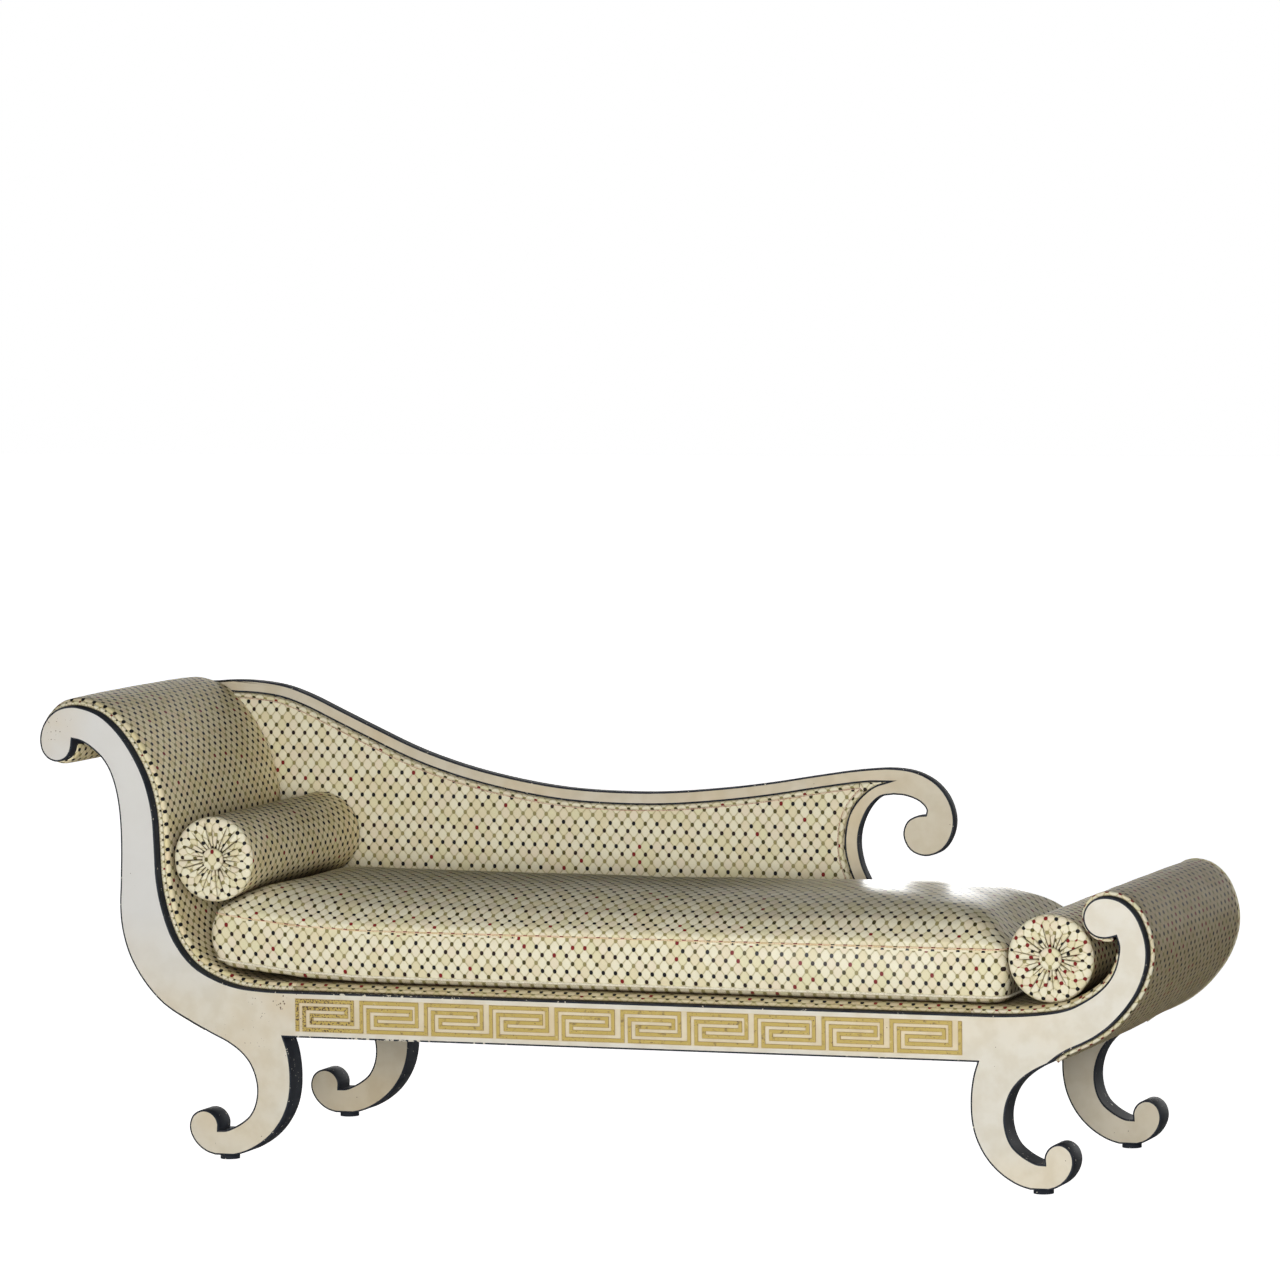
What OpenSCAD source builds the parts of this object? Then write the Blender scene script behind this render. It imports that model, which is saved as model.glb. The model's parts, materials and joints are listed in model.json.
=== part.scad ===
// Recamier: a painted scroll-end chaise on four scroll legs, with a low swept back,
// upholstered ends, a loose box cushion and two loose bolsters.
// Frame: X runs from the head end to the foot end, Y from the front to the back,
// Z is up, and the origin is on the floor under the middle of the whole piece.

/* [Side frames] */
// Depth over the two side frames, front face to rear face
frame_depth = 622; // [560:1:700]
// Thickness of the boards that the side frames are sawn from
board_t = 55; // [46:1:62]
// Length of the straight seat rail between the two scrolls
seat_run = 1288; // [1220:1:1400]
// Height of the seat rail
rail_h = 83; // [76:1:92]
// How far the head scroll reaches past the end of the seat rail
head_reach = 491; // [460:1:520]
// How far the head scroll rises above the top of the seat rail
head_rise = 514; // [480:1:545]
// How far the foot scroll reaches past the end of the seat rail
foot_reach = 325; // [305:1:345]
// How far the foot scroll rises above the top of the seat rail
foot_rise = 213; // [203:1:235]

/* [Legs] */
// Height of a leg from its glide to the seat rail
leg_h = 221; // [200:1:240]
// Reach of a head leg from its inner edge to the outside of its curl
head_leg_reach = 189; // [178:1:200]
// Reach of a foot leg from its inner edge to the outside of its curl
foot_leg_reach = 174; // [164:1:186]
// Distance of the head leg from the end of the seat rail
head_leg_inset = 14; // [10:1:20]
// Distance of the foot leg from the end of the seat rail
foot_leg_inset = 16; // [10:1:20]
// Radius of the glide under each leg
glide_r = 18; // [12:1:18]
// Height of the glide under each leg
glide_h = 9; // [6:1:14]

/* [Back] */
// Length of the crest from the head end of the seat rail to its scroll
crest_run = 1089; // [1040:1:1140]
// Height of the crest's scroll above the seat rail
crest_rise = 377; // [360:1:395]
// Width of the crest's face
crest_w = 24; // [22:1:30]
// Thickness of the crest and of the stile, front to back
crest_t = 22; // [20:1:28]
// How far the inside back stands in front of the crest
back_proud = 10; // [6:1:14]
// Thickness of the padding on the inside back
back_pad_t = 19; // [17:1:23]
// Thickness of the board inside the back
back_core_t = 6; // [5:1:8]
// Thickness of the cover on the outside back
back_cover_t = 12; // [9:1:16]

/* [Upholstery] */
// How far the covers stand proud of the edges of the boards
pad_proud = 12; // [8:1:14]
// How far the outside covers stand proud of the edges of the boards
outside_proud = 6; // [4:1:10]
// How far the padding sinks between the boards
pad_sunk = 10; // [6:1:12]
// Painted edge left bare in front of the covers
pad_setback = 26; // [20:1:34]
// Sewn gap between the deck's cover and the covers of the two ends
cover_seam = 0.3; // [0.3:0.1:0.8]

/* [Seat cushion] */
// Height of the boxing of the cushion
boxing_h = 98; // [86:1:112]
// Crown of the cushion above its boxing
cushion_crown = 72; // [56:1:80]
// How far the boxing swells between its seams
boxing_swell = 5; // [3:1:9]
// Set back of the cushion from the front of the frame
cushion_setback = 34; // [30:1:44]
// Radius of the corners of the cushion
cushion_corner = 24; // [18:1:34]
// How far the head end of the cushion rides up on the padding
cushion_lift = 27; // [25:1:36]
// Free space around the cushion
cushion_clear = 1.5; // [1:0.1:2]

/* [Bolsters] */
// Radius of the bolsters
bolster_r = 78; // [70:1:84]
// Radius of the covered buttons in the ends of the bolsters
button_r = 20; // [16:1:24]
// Height of the covered buttons
button_h = 9; // [6:1:12]
// Number of gathered pleats round the end of a bolster
pleats = 16; // [12:1:18]
// Depth of the pleats
pleat_d = 2.4; // [1:0.1:3.5]
// How far the end of a bolster swells
end_swell = 9; // [5:1:12]
// Set back of the bolsters from the front of the frame
bolster_setback = 31; // [28:1:44]
// Free space between a bolster and what it lies on
bolster_clear = 0.4; // [0.3:0.1:0.8]

/* [Key moulding] */
// Number of repeats in the key moulding
key_units = 10; // [8:1:12]
// Width of the line of the key moulding
key_line = 7; // [5:0.5:8]
// Height of the key moulding
key_h = 59; // [52:1:64]
// Relief of the key moulding
key_relief = 1.5; // [1:0.1:3]
// Free length of rail at each end of the key moulding
key_margin = 11; // [6:1:20]

/* [Inner frame] */
// Thickness of the cross rails under the seat
cross_rail_t = 25; // [18:1:32]
// Height of the cross rails under the seat
cross_rail_h = 43; // [34:1:46]
// Height of the cross rails above the bottom of the seat rail
cross_rail_lift = 5; // [3:1:8]
// Distance of the outer cross rails from the ends of the seat rail
cross_rail_out = 30; // [26:1:40]
// Number of cross rails under the seat
cross_rail_count = 4; // [3:1:5]
// Thickness of the rails inside the two scrolls
scroll_rail_t = 20; // [16:1:22]
// Height of the rails inside the two scrolls
scroll_rail_h = 34; // [28:1:38]
// Radius of the round rail in the eye of each scroll
eye_rail_r = 14; // [12:1:16]
// Width of the battens that carry the webbing
batten_w = 22; // [16:1:28]
// Width of a strap of webbing
strap_w = 50; // [40:1:60]
// Thickness of the webbing
strap_t = 2; // [1.5:0.1:3]
// Number of straps of webbing
strap_count = 12; // [9:1:14]
// Length of the corner blocks
block_l = 50; // [40:1:60]
// Thickness of the corner blocks
block_t = 30; // [24:1:36]
// Radius of the screws in the corner blocks
screw_r = 2.5; // [2:0.1:3]
// Length of the screws in the corner blocks
screw_l = 50; // [44:1:56]
// Radius of the dowels
dowel_r = 6; // [4:0.5:7]
// Length of the dowels
dowel_l = 60; // [44:1:66]
// Thickness of the dust cover under the seat
dust_cover_t = 1; // [0.8:0.1:1.6]

/* [Hidden] */

// Colours of the finishes
ivory = "#DCD6C2";
gold = "#C6A24C";
cream_fabric = "#CFC5A0";
bare_wood = "#B99A6B";
steel = "#9A9CA0";
jute = "#B7A27A";
black_cloth = "#2B2B2B";
dark_paint = "#23262E";

// Steps drawn between two points of an outline, and facets of round solids
curve_steps = 4;
round_steps = 48;

// Free space round a dowel or a screw in its hole
dowel_clear = 0.1;

// The outline of a leg, as shares of its reach from its inner edge and of its height
// above the glide: the stem, then the curl, then the inside of the curl
leg_stem_shares = [[0, 1], [-0.04, 0.9], [-0.066, 0.78], [-0.074, 0.66], [-0.066, 0.54],
    [-0.033, 0.42], [0.03, 0.305], [0.122, 0.2], [0.24, 0.112], [0.375, 0.045],
    [0.47, 0.015], [0.545, 0]];
leg_curl_shares = [[0.735, 0], [0.82, 0.021], [0.9, 0.064], [0.958, 0.12], [0.994, 0.185],
    [1, 0.25], [0.972, 0.315], [0.912, 0.358], [0.84, 0.371], [0.768, 0.352],
    [0.718, 0.31], [0.695, 0.26], [0.697, 0.206]];
leg_inside_shares = [[0.617, 0.21], [0.54, 0.235], [0.45, 0.278], [0.37, 0.335],
    [0.318, 0.41], [0.29, 0.5], [0.288, 0.59], [0.315, 0.69], [0.37, 0.785],
    [0.46, 0.868], [0.585, 0.94]];
leg_top_share = 0.735;
glide_share = 0.64;

// The upper edge of the head scroll from the seat rail to its top and round its eye,
// as shares of its reach and of its rise above the rail
head_edge_shares = [[0, 0], [0.05, 0], [0.13, 0.003], [0.214, 0.012], [0.301, 0.037],
    [0.391, 0.085], [0.463, 0.169], [0.506, 0.273], [0.529, 0.382], [0.535, 0.5],
    [0.543, 0.621], [0.571, 0.733], [0.616, 0.824], [0.682, 0.912], [0.757, 0.972],
    [0.832, 0.997], [0.876, 1], [0.922, 0.99], [0.962, 0.963], [0.99, 0.922],
    [1, 0.878], [0.992, 0.838], [0.967, 0.81], [0.929, 0.8], [0.894, 0.813],
    [0.874, 0.841], [0.867, 0.882]];
// The lower edge of the head scroll from its eye down to the leg, as shares of its
// reach and of its whole height
head_under_shares = [[0.832, 0.892], [0.796, 0.876], [0.752, 0.846], [0.723, 0.813],
    [0.703, 0.774], [0.688, 0.726], [0.678, 0.66], [0.675, 0.578], [0.679, 0.461],
    [0.683, 0.386], [0.676, 0.318], [0.648, 0.238], [0.591, 0.158], [0.511, 0.089],
    [0.407, 0.039]];
// Count of spans of the upper edge before the crest, and before the end of the back
head_crest_count = 16;
head_back_count = 14;

// The upper edge of the foot scroll from the seat rail to the corner under its eye
foot_edge_shares = [[0, 0], [0.1, 0], [0.2, 0.003], [0.345, 0.017], [0.498, 0.049],
    [0.578, 0.085], [0.646, 0.139], [0.717, 0.211], [0.778, 0.3], [0.82, 0.411],
    [0.838, 0.516], [0.843, 0.6], [0.828, 0.679]];
// The eye and the outer edge of the foot scroll, above the rail
foot_eye_shares = [[0.795, 0.665], [0.755, 0.659], [0.71, 0.674], [0.67, 0.723],
    [0.648, 0.793], [0.65, 0.869], [0.671, 0.932], [0.705, 0.976], [0.745, 0.997],
    [0.785, 1], [0.842, 0.981], [0.895, 0.932], [0.94, 0.855], [0.972, 0.756],
    [0.993, 0.65], [1, 0.535], [0.991, 0.42], [0.97, 0.316]];
// The outer edge of the foot scroll below that, as shares of its whole height
foot_under_shares = [[0.937, 0.431], [0.892, 0.358], [0.84, 0.29], [0.78, 0.227],
    [0.706, 0.168], [0.631, 0.124], [0.557, 0.087], [0.497, 0.047]];

// The top of the crest beside the head scroll, as shares of the head scroll's sizes
crest_head_shares = [[0.8, 1.009], [0.713, 1.015], [0.607, 1.012], [0.497, 0.997],
    [0.391, 0.963], [0.271, 0.911], [0.138, 0.853]];
// The top of the crest and its scroll, as shares of the crest's own run and rise
crest_top_shares = [[0.017, 1.062], [0.075, 1.003], [0.148, 0.945], [0.242, 0.892],
    [0.323, 0.865], [0.42, 0.856], [0.497, 0.862], [0.6, 0.889], [0.68, 0.92],
    [0.759, 0.958], [0.833, 0.989], [0.894, 1]];
crest_scroll_shares = [[0.936, 0.981], [0.97, 0.927], [0.992, 0.844], [1, 0.747],
    [0.993, 0.66], [0.976, 0.598], [0.948, 0.571], [0.921, 0.6], [0.909, 0.673],
    [0.916, 0.738], [0.933, 0.768], [0.949, 0.774]];
crest_hook_shares = [[0.9505, 0.8], [0.9385, 0.838], [0.914, 0.865], [0.8926, 0.87]];
crest_tip_shares = [0.8797, 0.931];
// The two edges of the stile, from the crest down to the seat rail
stile_inner_shares = [[0.858, 0.909], [0.831, 0.846], [0.813, 0.766], [0.805, 0.652],
    [0.807, 0.559], [0.821, 0.44], [0.843, 0.323], [0.874, 0.207], [0.914, 0.09],
    [0.953, 0]];
stile_outer_shares = [[0.869, 0.857], [0.85, 0.807], [0.835, 0.723], [0.8295, 0.633],
    [0.835, 0.53], [0.849, 0.44], [0.872, 0.336], [0.906, 0.223], [0.947, 0.117],
    [1.007, 0]];

// Centres of the rails inside the scrolls, as shares of each scroll's reach and height
head_rail_shares = [[0.56, 0.277], [0.605, 0.52], [0.63, 0.74]];
head_eye_shares = [0.935, 0.895];
head_neck_shares = [0.785, 0.93];
foot_rail_shares = [0.66, 0.264];
foot_eye_centre_shares = [0.77, 0.88];
foot_neck_shares = [0.88, 0.505];
// Places of the dowels, along the top of a leg and up the end of the seat rail
leg_dowel_shares = [0.1, 0.32];
rail_dowel_shares = [0.3, 0.7];

// Count of spans that the covers take up, of those before the head's cover thins out round
// its eye, and of those left bare past an eye
head_pad_count = 25.5;
head_full_count = 17;
head_thin_share = 0.25;
head_outside_skip_count = 1;
foot_pad_count = 10;
foot_outside_skip_count = 1;

// Columns of one repeat of the key, as shares of its pitch, and the rows of its lines
key_column_shares = [0, 0.107, 0.222, 0.766, 0.857, 1];
key_rows = 4;

// Outward steps and heights of the rings of the cushion's crown and of its bottom
crown_inset_shares = [0.02, 0.06, 0.13, 0.24, 0.38, 0.56, 0.76];
bottom_inset_shares = [0.4, 0.12, 0.03];
crown_power = 4;
lift_run_share = 0.24;
lift_power = 2.4;
cushion_under_round = 14;
side_draw = 3;
corner_spread = 0.35;
cushion_side_steps = 12;
cushion_end_steps = 4;
cushion_corner_steps = 4;
// Where the head bolster's and the foot bolster's outer sides lie in the two scrolls
head_bolster_share = 0.485;
foot_bolster_share = 0.671;
// Profile of the gathered end of a bolster: share of the radius, of the swell and of
// the pleats' depth
bolster_end_shares = [[1, 0, 0], [0.985, 0.45, 0.5], [0.93, 0.85, 1], [0.8, 1, 1],
    [0.6, 0.95, 1], [0.42, 0.6, 0.6]];
bolster_sides_per_pleat = 4;
screw_head_shares = [2, 1.2];
button_shares = [[0, 0], [0.86, 0], [0.88, 0.45], [0.74, 0.82], [0.42, 0.97], [0, 1]];

// A smooth curve through points, drawn with centripetal Catmull-Rom spans
function chord(a, b) = sqrt(norm(b - a));
function span_point(a, b, c, d, t) =
    let (ab = chord(a, b), bc = chord(b, c), cd = chord(c, d),
        out_b = ((b - a) / ab - (c - a) / (ab + bc)) * bc + (c - b),
        in_c = (c - b) + ((d - c) / cd - (d - b) / (bc + cd)) * bc)
    b * (1 + t * t * (2 * t - 3)) + out_b * (t * (1 - t) * (1 - t))
    + c * (t * t * (3 - 2 * t)) + in_c * (t * t * (t - 1));
function before(v, i) = i > 0 ? v[i - 1] : 2 * v[0] - v[1];
function after(v, i) = i < len(v) - 2 ? v[i + 2] : 2 * v[len(v) - 1] - v[len(v) - 2];
function smooth(v) = [
    for (i = [0 : len(v) - 2]) for (k = [0 : curve_steps - 1])
        span_point(before(v, i), v[i], v[i + 1], after(v, i), k / curve_steps),
    v[len(v) - 1]];

// Small list helpers, and a curve moved to its right by a distance or a list of distances
function last(v) = v[len(v) - 1];
function reversed(v) = [for (i = [len(v) - 1 : -1 : 0]) v[i]];
function part_of(v, first, end) = [for (i = [first : end]) v[i]];
function heading(v, i) = v[min(i + 1, len(v) - 1)] - v[max(i - 1, 0)];
function beside(v, d) = [for (i = [0 : len(v) - 1])
    let (h = heading(v, i)) v[i] + (is_list(d) ? d[i] : d) * [h[1], -h[0]] / norm(h)];
function band(v, inner, outer) = concat(beside(v, inner), reversed(beside(v, outer)));
function placed(shares, x, z, lift) = [for (s = shares) [s[0] * x, lift + s[1] * z]];

// Heights and depths of the main parts
rail_z = glide_h + leg_h;
head_h = rail_h + head_rise;
foot_h = rail_h + foot_rise;
front_y = (key_relief - frame_depth) / 2;
front_inner_y = front_y + board_t;
rear_y = front_y + frame_depth - board_t;
rear_outer_y = front_y + frame_depth;
inner_depth = frame_depth - 2 * board_t;
pad_y = front_y + pad_setback;
pad_end_y = rear_outer_y - pad_setback;
back_face_y = rear_y - back_proud;

// The edges of the two scrolls, drawn from the ends of the seat rail
head_edge = smooth(placed(head_edge_shares, -head_reach, head_rise, rail_h));
head_leg_top = head_leg_inset + leg_top_share * head_leg_reach;
head_under = smooth(concat([last(head_edge)], placed(head_under_shares, -head_reach, head_h, 0),
    [[-head_leg_top, 0]]));
head_outline = concat(head_edge, part_of(head_under, 1, len(head_under) - 1), [[0, 0]]);
foot_edge = smooth(placed(foot_edge_shares, foot_reach, foot_rise, rail_h));
foot_leg_top = foot_leg_inset + leg_top_share * foot_leg_reach;
foot_outer = smooth(concat([last(foot_edge)], placed(foot_eye_shares, foot_reach, foot_rise, rail_h),
    placed(foot_under_shares, foot_reach, foot_h, 0), [[foot_leg_top, 0]]));
foot_outline = concat(foot_edge, part_of(foot_outer, 1, len(foot_outer) - 1), [[0, 0]]);

// The crest, its scroll and the stile, drawn from the head end of the seat rail
head_top_point = head_edge[head_crest_count * curve_steps];
crest_top = smooth(concat([head_top_point], placed(crest_head_shares, -head_reach, head_rise, rail_h),
    placed(crest_top_shares, crest_run, crest_rise, rail_h),
    placed(crest_scroll_shares, crest_run, crest_rise, rail_h)));
crest_hook = smooth(concat([last(crest_top)], placed(crest_hook_shares, crest_run, crest_rise, rail_h)));
crest_tip = [crest_tip_shares[0] * crest_run, rail_h + crest_tip_shares[1] * crest_rise];
head_back_point = head_edge[head_back_count * curve_steps];
crest_top_end = (len(crest_head_shares) + len(crest_top_shares)) * curve_steps;
crest_low_all = beside(part_of(crest_top, 0, crest_top_end), crest_w);
crest_low = [for (p = crest_low_all)
    if (p[0] > head_back_point[0] + crest_w && p[0] < crest_tip[0] - crest_w) p];
stile_inner = smooth(concat([crest_tip], placed(stile_inner_shares, crest_run, crest_rise, rail_h)));
stile_outer = smooth(concat([last(crest_hook)], placed(stile_outer_shares, crest_run, crest_rise, rail_h)));
crest_outline = concat(crest_top, part_of(crest_hook, 1, len(crest_hook) - 1), [crest_tip],
    reversed(crest_low), part_of(head_edge, head_back_count * curve_steps,
    head_crest_count * curve_steps - 1));
stile_outline = concat(stile_inner, reversed(stile_outer));
back_outline = concat(part_of(head_edge, 0, head_back_count * curve_steps), crest_low, stile_inner);

// The edges that the covers follow, and the ends of their runs
head_pad_edge = part_of(head_edge, 0, head_pad_count * curve_steps);
head_tip_start = (head_crest_count + 1) * curve_steps;
head_tip_edge = part_of(head_edge, head_tip_start, head_pad_count * curve_steps);
head_thinning = (1 - head_thin_share) / (head_pad_count - head_full_count);
head_pad_proud = [for (i = [0 : len(head_pad_edge) - 1])
    pad_proud * (1 - head_thinning * max(0, i / curve_steps - head_full_count))];
head_tip_proud = part_of(head_pad_proud, head_tip_start, len(head_pad_proud) - 1);
head_outside_edge = part_of(head_under, head_outside_skip_count * curve_steps, len(head_under) - 1 - curve_steps / 2);
foot_pad_edge = part_of(foot_edge, 0, foot_pad_count * curve_steps);
foot_outside_edge = part_of(foot_outer, foot_outside_skip_count * curve_steps, len(foot_outer) - 1 - curve_steps / 2);
stile_end = last(stile_outer)[0];

// The seat rail starts where it leaves the covers centred over the origin
head_far = max([for (p = beside(head_pad_edge, head_pad_proud)) -p[0]]);
foot_far = max([for (p = beside(foot_outside_edge, -outside_proud)) p[0]]);
rail_x = (head_far - foot_far - seat_run) / 2;

// Heights under the seat, from the bottom of the seat rail
deck_under_z = rail_h - pad_sunk;
batten_top_z = deck_under_z - strap_t;
cross_rail_top_z = cross_rail_lift + cross_rail_h;
batten_h = batten_top_z - cross_rail_top_z;

// The bolsters, and the cushion between them
foot_bolster_x = foot_bolster_share * foot_reach - bolster_r;
head_bolster_x = bolster_r - head_bolster_share * head_reach;
head_pad_face = beside(head_pad_edge, pad_proud);
foot_pad_face = beside(foot_pad_edge, -pad_proud);
function rest_height(points, x, r) = max([for (p = points)
    if (abs(p[0] - x) < r) p[1] + sqrt(r * r - (p[0] - x) * (p[0] - x))]);
foot_bolster_z = max(rail_h + pad_proud + bolster_r, rest_height(foot_pad_face, foot_bolster_x, bolster_r))
    + bolster_clear;
cushion_head_x = head_bolster_x - bolster_clear;
cushion_foot_x = seat_run + foot_bolster_x - bolster_r - cushion_clear;
cushion_l = cushion_foot_x - cushion_head_x;
cushion_front_y = front_y + cushion_setback;
cushion_rear_y = back_face_y - cushion_clear;
cushion_w = cushion_rear_y - cushion_front_y;
cushion_half = cushion_w / 2;
cushion_low_z = rail_h + pad_proud + bolster_clear;
bolster_front_y = front_y + bolster_setback + end_swell + pleat_d;
bolster_rear_y = back_face_y - cushion_clear - end_swell - pleat_d;

// One ring of the cushion: a rectangle with round corners, drawn in by an inset
function corner_points(cx, cy, r, start) = [for (k = [0 : cushion_corner_steps])
    [cx + r * cos(start + 90 * k / cushion_corner_steps), cy + r * sin(start + 90 * k / cushion_corner_steps)]];
function between(a, b, n) = [for (k = [1 : n - 1]) a + (b - a) * k / n];
function sagging(v, way) = [for (k = [0 : len(v) - 1])
    let (t = 2 * (k + 1) / (len(v) + 1) - 1) v[k] + side_draw * (1 - t * t) * way];
function ring_flat(inset) =
    let (r = cushion_corner + inset * corner_spread,
        x0 = cushion_head_x + inset + r, x1 = cushion_foot_x - inset - r,
        y0 = cushion_front_y + inset + r, y1 = cushion_rear_y - inset - r,
        a = corner_points(x1, y1, r, 0), b = corner_points(x0, y1, r, 90),
        c = corner_points(x0, y0, r, 180), d = corner_points(x1, y0, r, 270))
    concat(a, sagging(between(last(a), b[0], cushion_side_steps), [0, -1]),
        b, sagging(between(last(b), c[0], cushion_end_steps), [1, 0]),
        c, sagging(between(last(c), d[0], cushion_side_steps), [0, 1]),
        d, sagging(between(last(d), a[0], cushion_end_steps), [-1, 0]));
function lift_at(x) = cushion_lift
    * pow(max(0, 1 - (x - cushion_head_x) / (lift_run_share * cushion_l)), lift_power);
function ring_at(inset, z) = [for (p = ring_flat(inset)) [p[0], p[1], z + lift_at(p[0])]];
boxing_low_z = cushion_low_z + cushion_under_round;
boxing_top_z = cushion_low_z + boxing_h;
cushion_rings = concat(
    [for (s = bottom_inset_shares) ring_at(s * cushion_half + boxing_swell,
        cushion_low_z + (s == last(bottom_inset_shares) ? cushion_under_round / 5 : 0))],
    [ring_at(boxing_swell, boxing_low_z), ring_at(0, (boxing_low_z + boxing_top_z) / 2 - cushion_under_round),
        ring_at(0, (boxing_low_z + boxing_top_z) / 2 + cushion_under_round), ring_at(boxing_swell, boxing_top_z)],
    [for (s = crown_inset_shares) ring_at(boxing_swell + s * (cushion_half - boxing_swell),
        boxing_top_z + cushion_crown * (1 - pow(1 - s, crown_power)))]);
cushion_points = [for (r = cushion_rings) for (p = r) p];

// The end faces of the cushion: a fan at each end and strips from side to side between
ring_n = len(cushion_rings[0]);
corner_n = cushion_corner_steps + 1;
side_last = 2 * corner_n + cushion_side_steps - 2;
function across(i) = ring_n - cushion_end_steps - i;
cushion_cap = concat(
    fan([for (i = [across(1) : ring_n + 1]) i % ring_n]),
    fan([for (i = [side_last - 1 : across(side_last - 1)]) i]),
    [for (i = [1 : side_last - 2]) for (f = fan([i, i + 1, across(i + 1), across(i)])) f]);
head_bolster_z = rest_height([for (p = cushion_points) [p[0], p[2]]], head_bolster_x, bolster_r)
    + bolster_clear;

// A loft of rings with as many points each, closed by the faces of its two ends
function loft_sides(rings, n) = [for (k = [0 : len(rings) - 2]) for (i = [0 : n - 1])
    let (j = (i + 1) % n)
    for (f = [[k * n + i, (k + 1) * n + i, k * n + j], [k * n + j, (k + 1) * n + i, (k + 1) * n + j]]) f];
function fan(v) = [for (k = [1 : len(v) - 2]) [v[0], v[k], v[k + 1]]];
function turned(faces) = [for (f = faces) reversed(f)];
function moved(faces, by) = [for (f = faces) [for (i = f) i + by]];
module ring_loft(rings, cap) {
    n = len(rings[0]);
    polyhedron(points = [for (r = rings) for (p = r) p],
        faces = concat(loft_sides(rings, n), cap, moved(turned(cap), (len(rings) - 1) * n)), convexity = 4);
}

// A board cut to an outline in the XZ plane, from one depth to another
module slab(outline, y_from, y_to) {
    translate([0, y_to, 0])
        rotate([90, 0, 0])
            linear_extrude(y_to - y_from)
                polygon(outline);
}

// The two ends of the seat rail as places to work from
module at_head() {
    translate([rail_x, 0, rail_z])
        children();
}
module at_foot() {
    translate([rail_x + seat_run, 0, rail_z])
        children();
}

// Dowels across the two joints of the seat rail, and down into the legs
module rail_dowels(y, r, l) {
    for (s = rail_dowel_shares)
        translate([-l / 2, y + board_t / 2, s * rail_h])
            rotate([0, 90, 0])
                cylinder(h = l, r = r, $fn = round_steps);
}
module leg_dowels(y, inset, reach, r, l) {
    for (s = leg_dowel_shares)
        translate([inset + s * reach, y + board_t / 2, -l / 2])
            cylinder(h = l, r = r, $fn = round_steps);
}
module side_dowels(y, r, l) {
    at_head() {
        rail_dowels(y, r, l);
        leg_dowels(y, -head_leg_inset, -head_leg_reach, r, l);
    }
    at_foot() {
        rail_dowels(y, r, l);
        leg_dowels(y, foot_leg_inset, foot_leg_reach, r, l);
    }
}
module dowel_holes(y) {
    side_dowels(y, dowel_r + dowel_clear, dowel_l + 2 * dowel_clear);
}

module head_scroll(y) {
    color(ivory)
        difference() {
            at_head() slab(head_outline, y, y + board_t);
            dowel_holes(y);
        }
}
module foot_scroll(y) {
    color(ivory)
        difference() {
            at_foot() slab(foot_outline, y, y + board_t);
            dowel_holes(y);
        }
}
module seat_rail(y) {
    color(ivory)
        difference() {
            at_head() slab([[0, 0], [seat_run, 0], [seat_run, rail_h], [0, rail_h]], y, y + board_t);
            dowel_holes(y);
            block_screw_set(screw_r + dowel_clear, dowel_clear);
        }
}

// A leg from its share tables, with its flat seat for the glide
function leg_outline(inset, reach) =
    let (stem = smooth(leg_stem_shares), curl = smooth(leg_curl_shares),
        inside = smooth(concat([last(leg_curl_shares)], leg_inside_shares, [[leg_top_share, 1]])))
    [for (s = concat(stem, curl, part_of(inside, 1, len(inside) - 1)))
        [inset + s[0] * reach, (s[1] - 1) * leg_h]];
module head_leg(y) {
    color(ivory)
        difference() {
            at_head() slab(leg_outline(-head_leg_inset, -head_leg_reach), y, y + board_t);
            dowel_holes(y);
        }
}
module foot_leg(y) {
    color(ivory)
        difference() {
            at_foot() slab(leg_outline(foot_leg_inset, foot_leg_reach), y, y + board_t);
            dowel_holes(y);
        }
}

module back_crest_rail() {
    color(ivory)
        at_head() slab(crest_outline, rear_y, rear_y + crest_t);
}
module back_stile() {
    color(ivory)
        at_head() slab(stile_outline, rear_y, rear_y + crest_t);
}
module back_pad() {
    color(cream_fabric)
        at_head() slab(back_outline, back_face_y, back_face_y + back_pad_t);
}
module back_core() {
    color(bare_wood)
        at_head() slab(back_outline, back_face_y + back_pad_t, back_face_y + back_pad_t + back_core_t);
}
module back_outside_pad() {
    color(cream_fabric)
        at_head() slab(back_outline, back_face_y + back_pad_t + back_core_t,
            back_face_y + back_pad_t + back_core_t + back_cover_t);
}

// A cover over the edges of both boards, which sinks between them
module cover(edge, proud, sunk, y_end) {
    slab(band(edge, 0, proud), pad_y, front_inner_y);
    slab(band(edge, -sunk, proud), front_inner_y, min(rear_y, y_end));
    if (y_end > rear_y)
        slab(band(edge, 0, proud), rear_y, y_end);
}
module head_pad() {
    color(cream_fabric)
        at_head() {
            cover(head_pad_edge, head_pad_proud, pad_sunk, back_face_y);
            slab(band(head_tip_edge, -pad_sunk, head_tip_proud), back_face_y, rear_y);
            slab(band(head_tip_edge, 0, head_tip_proud), rear_y, pad_end_y);
        }
}
module head_outside_pad() {
    color(cream_fabric)
        at_head() cover(head_outside_edge, outside_proud, pad_sunk, pad_end_y);
}
module foot_pad() {
    color(cream_fabric)
        at_foot() cover(foot_pad_edge, -pad_proud, -pad_sunk, pad_end_y);
}
module foot_outside_pad() {
    color(cream_fabric)
        at_foot() cover(foot_outside_edge, -outside_proud, -pad_sunk, pad_end_y);
}
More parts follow.
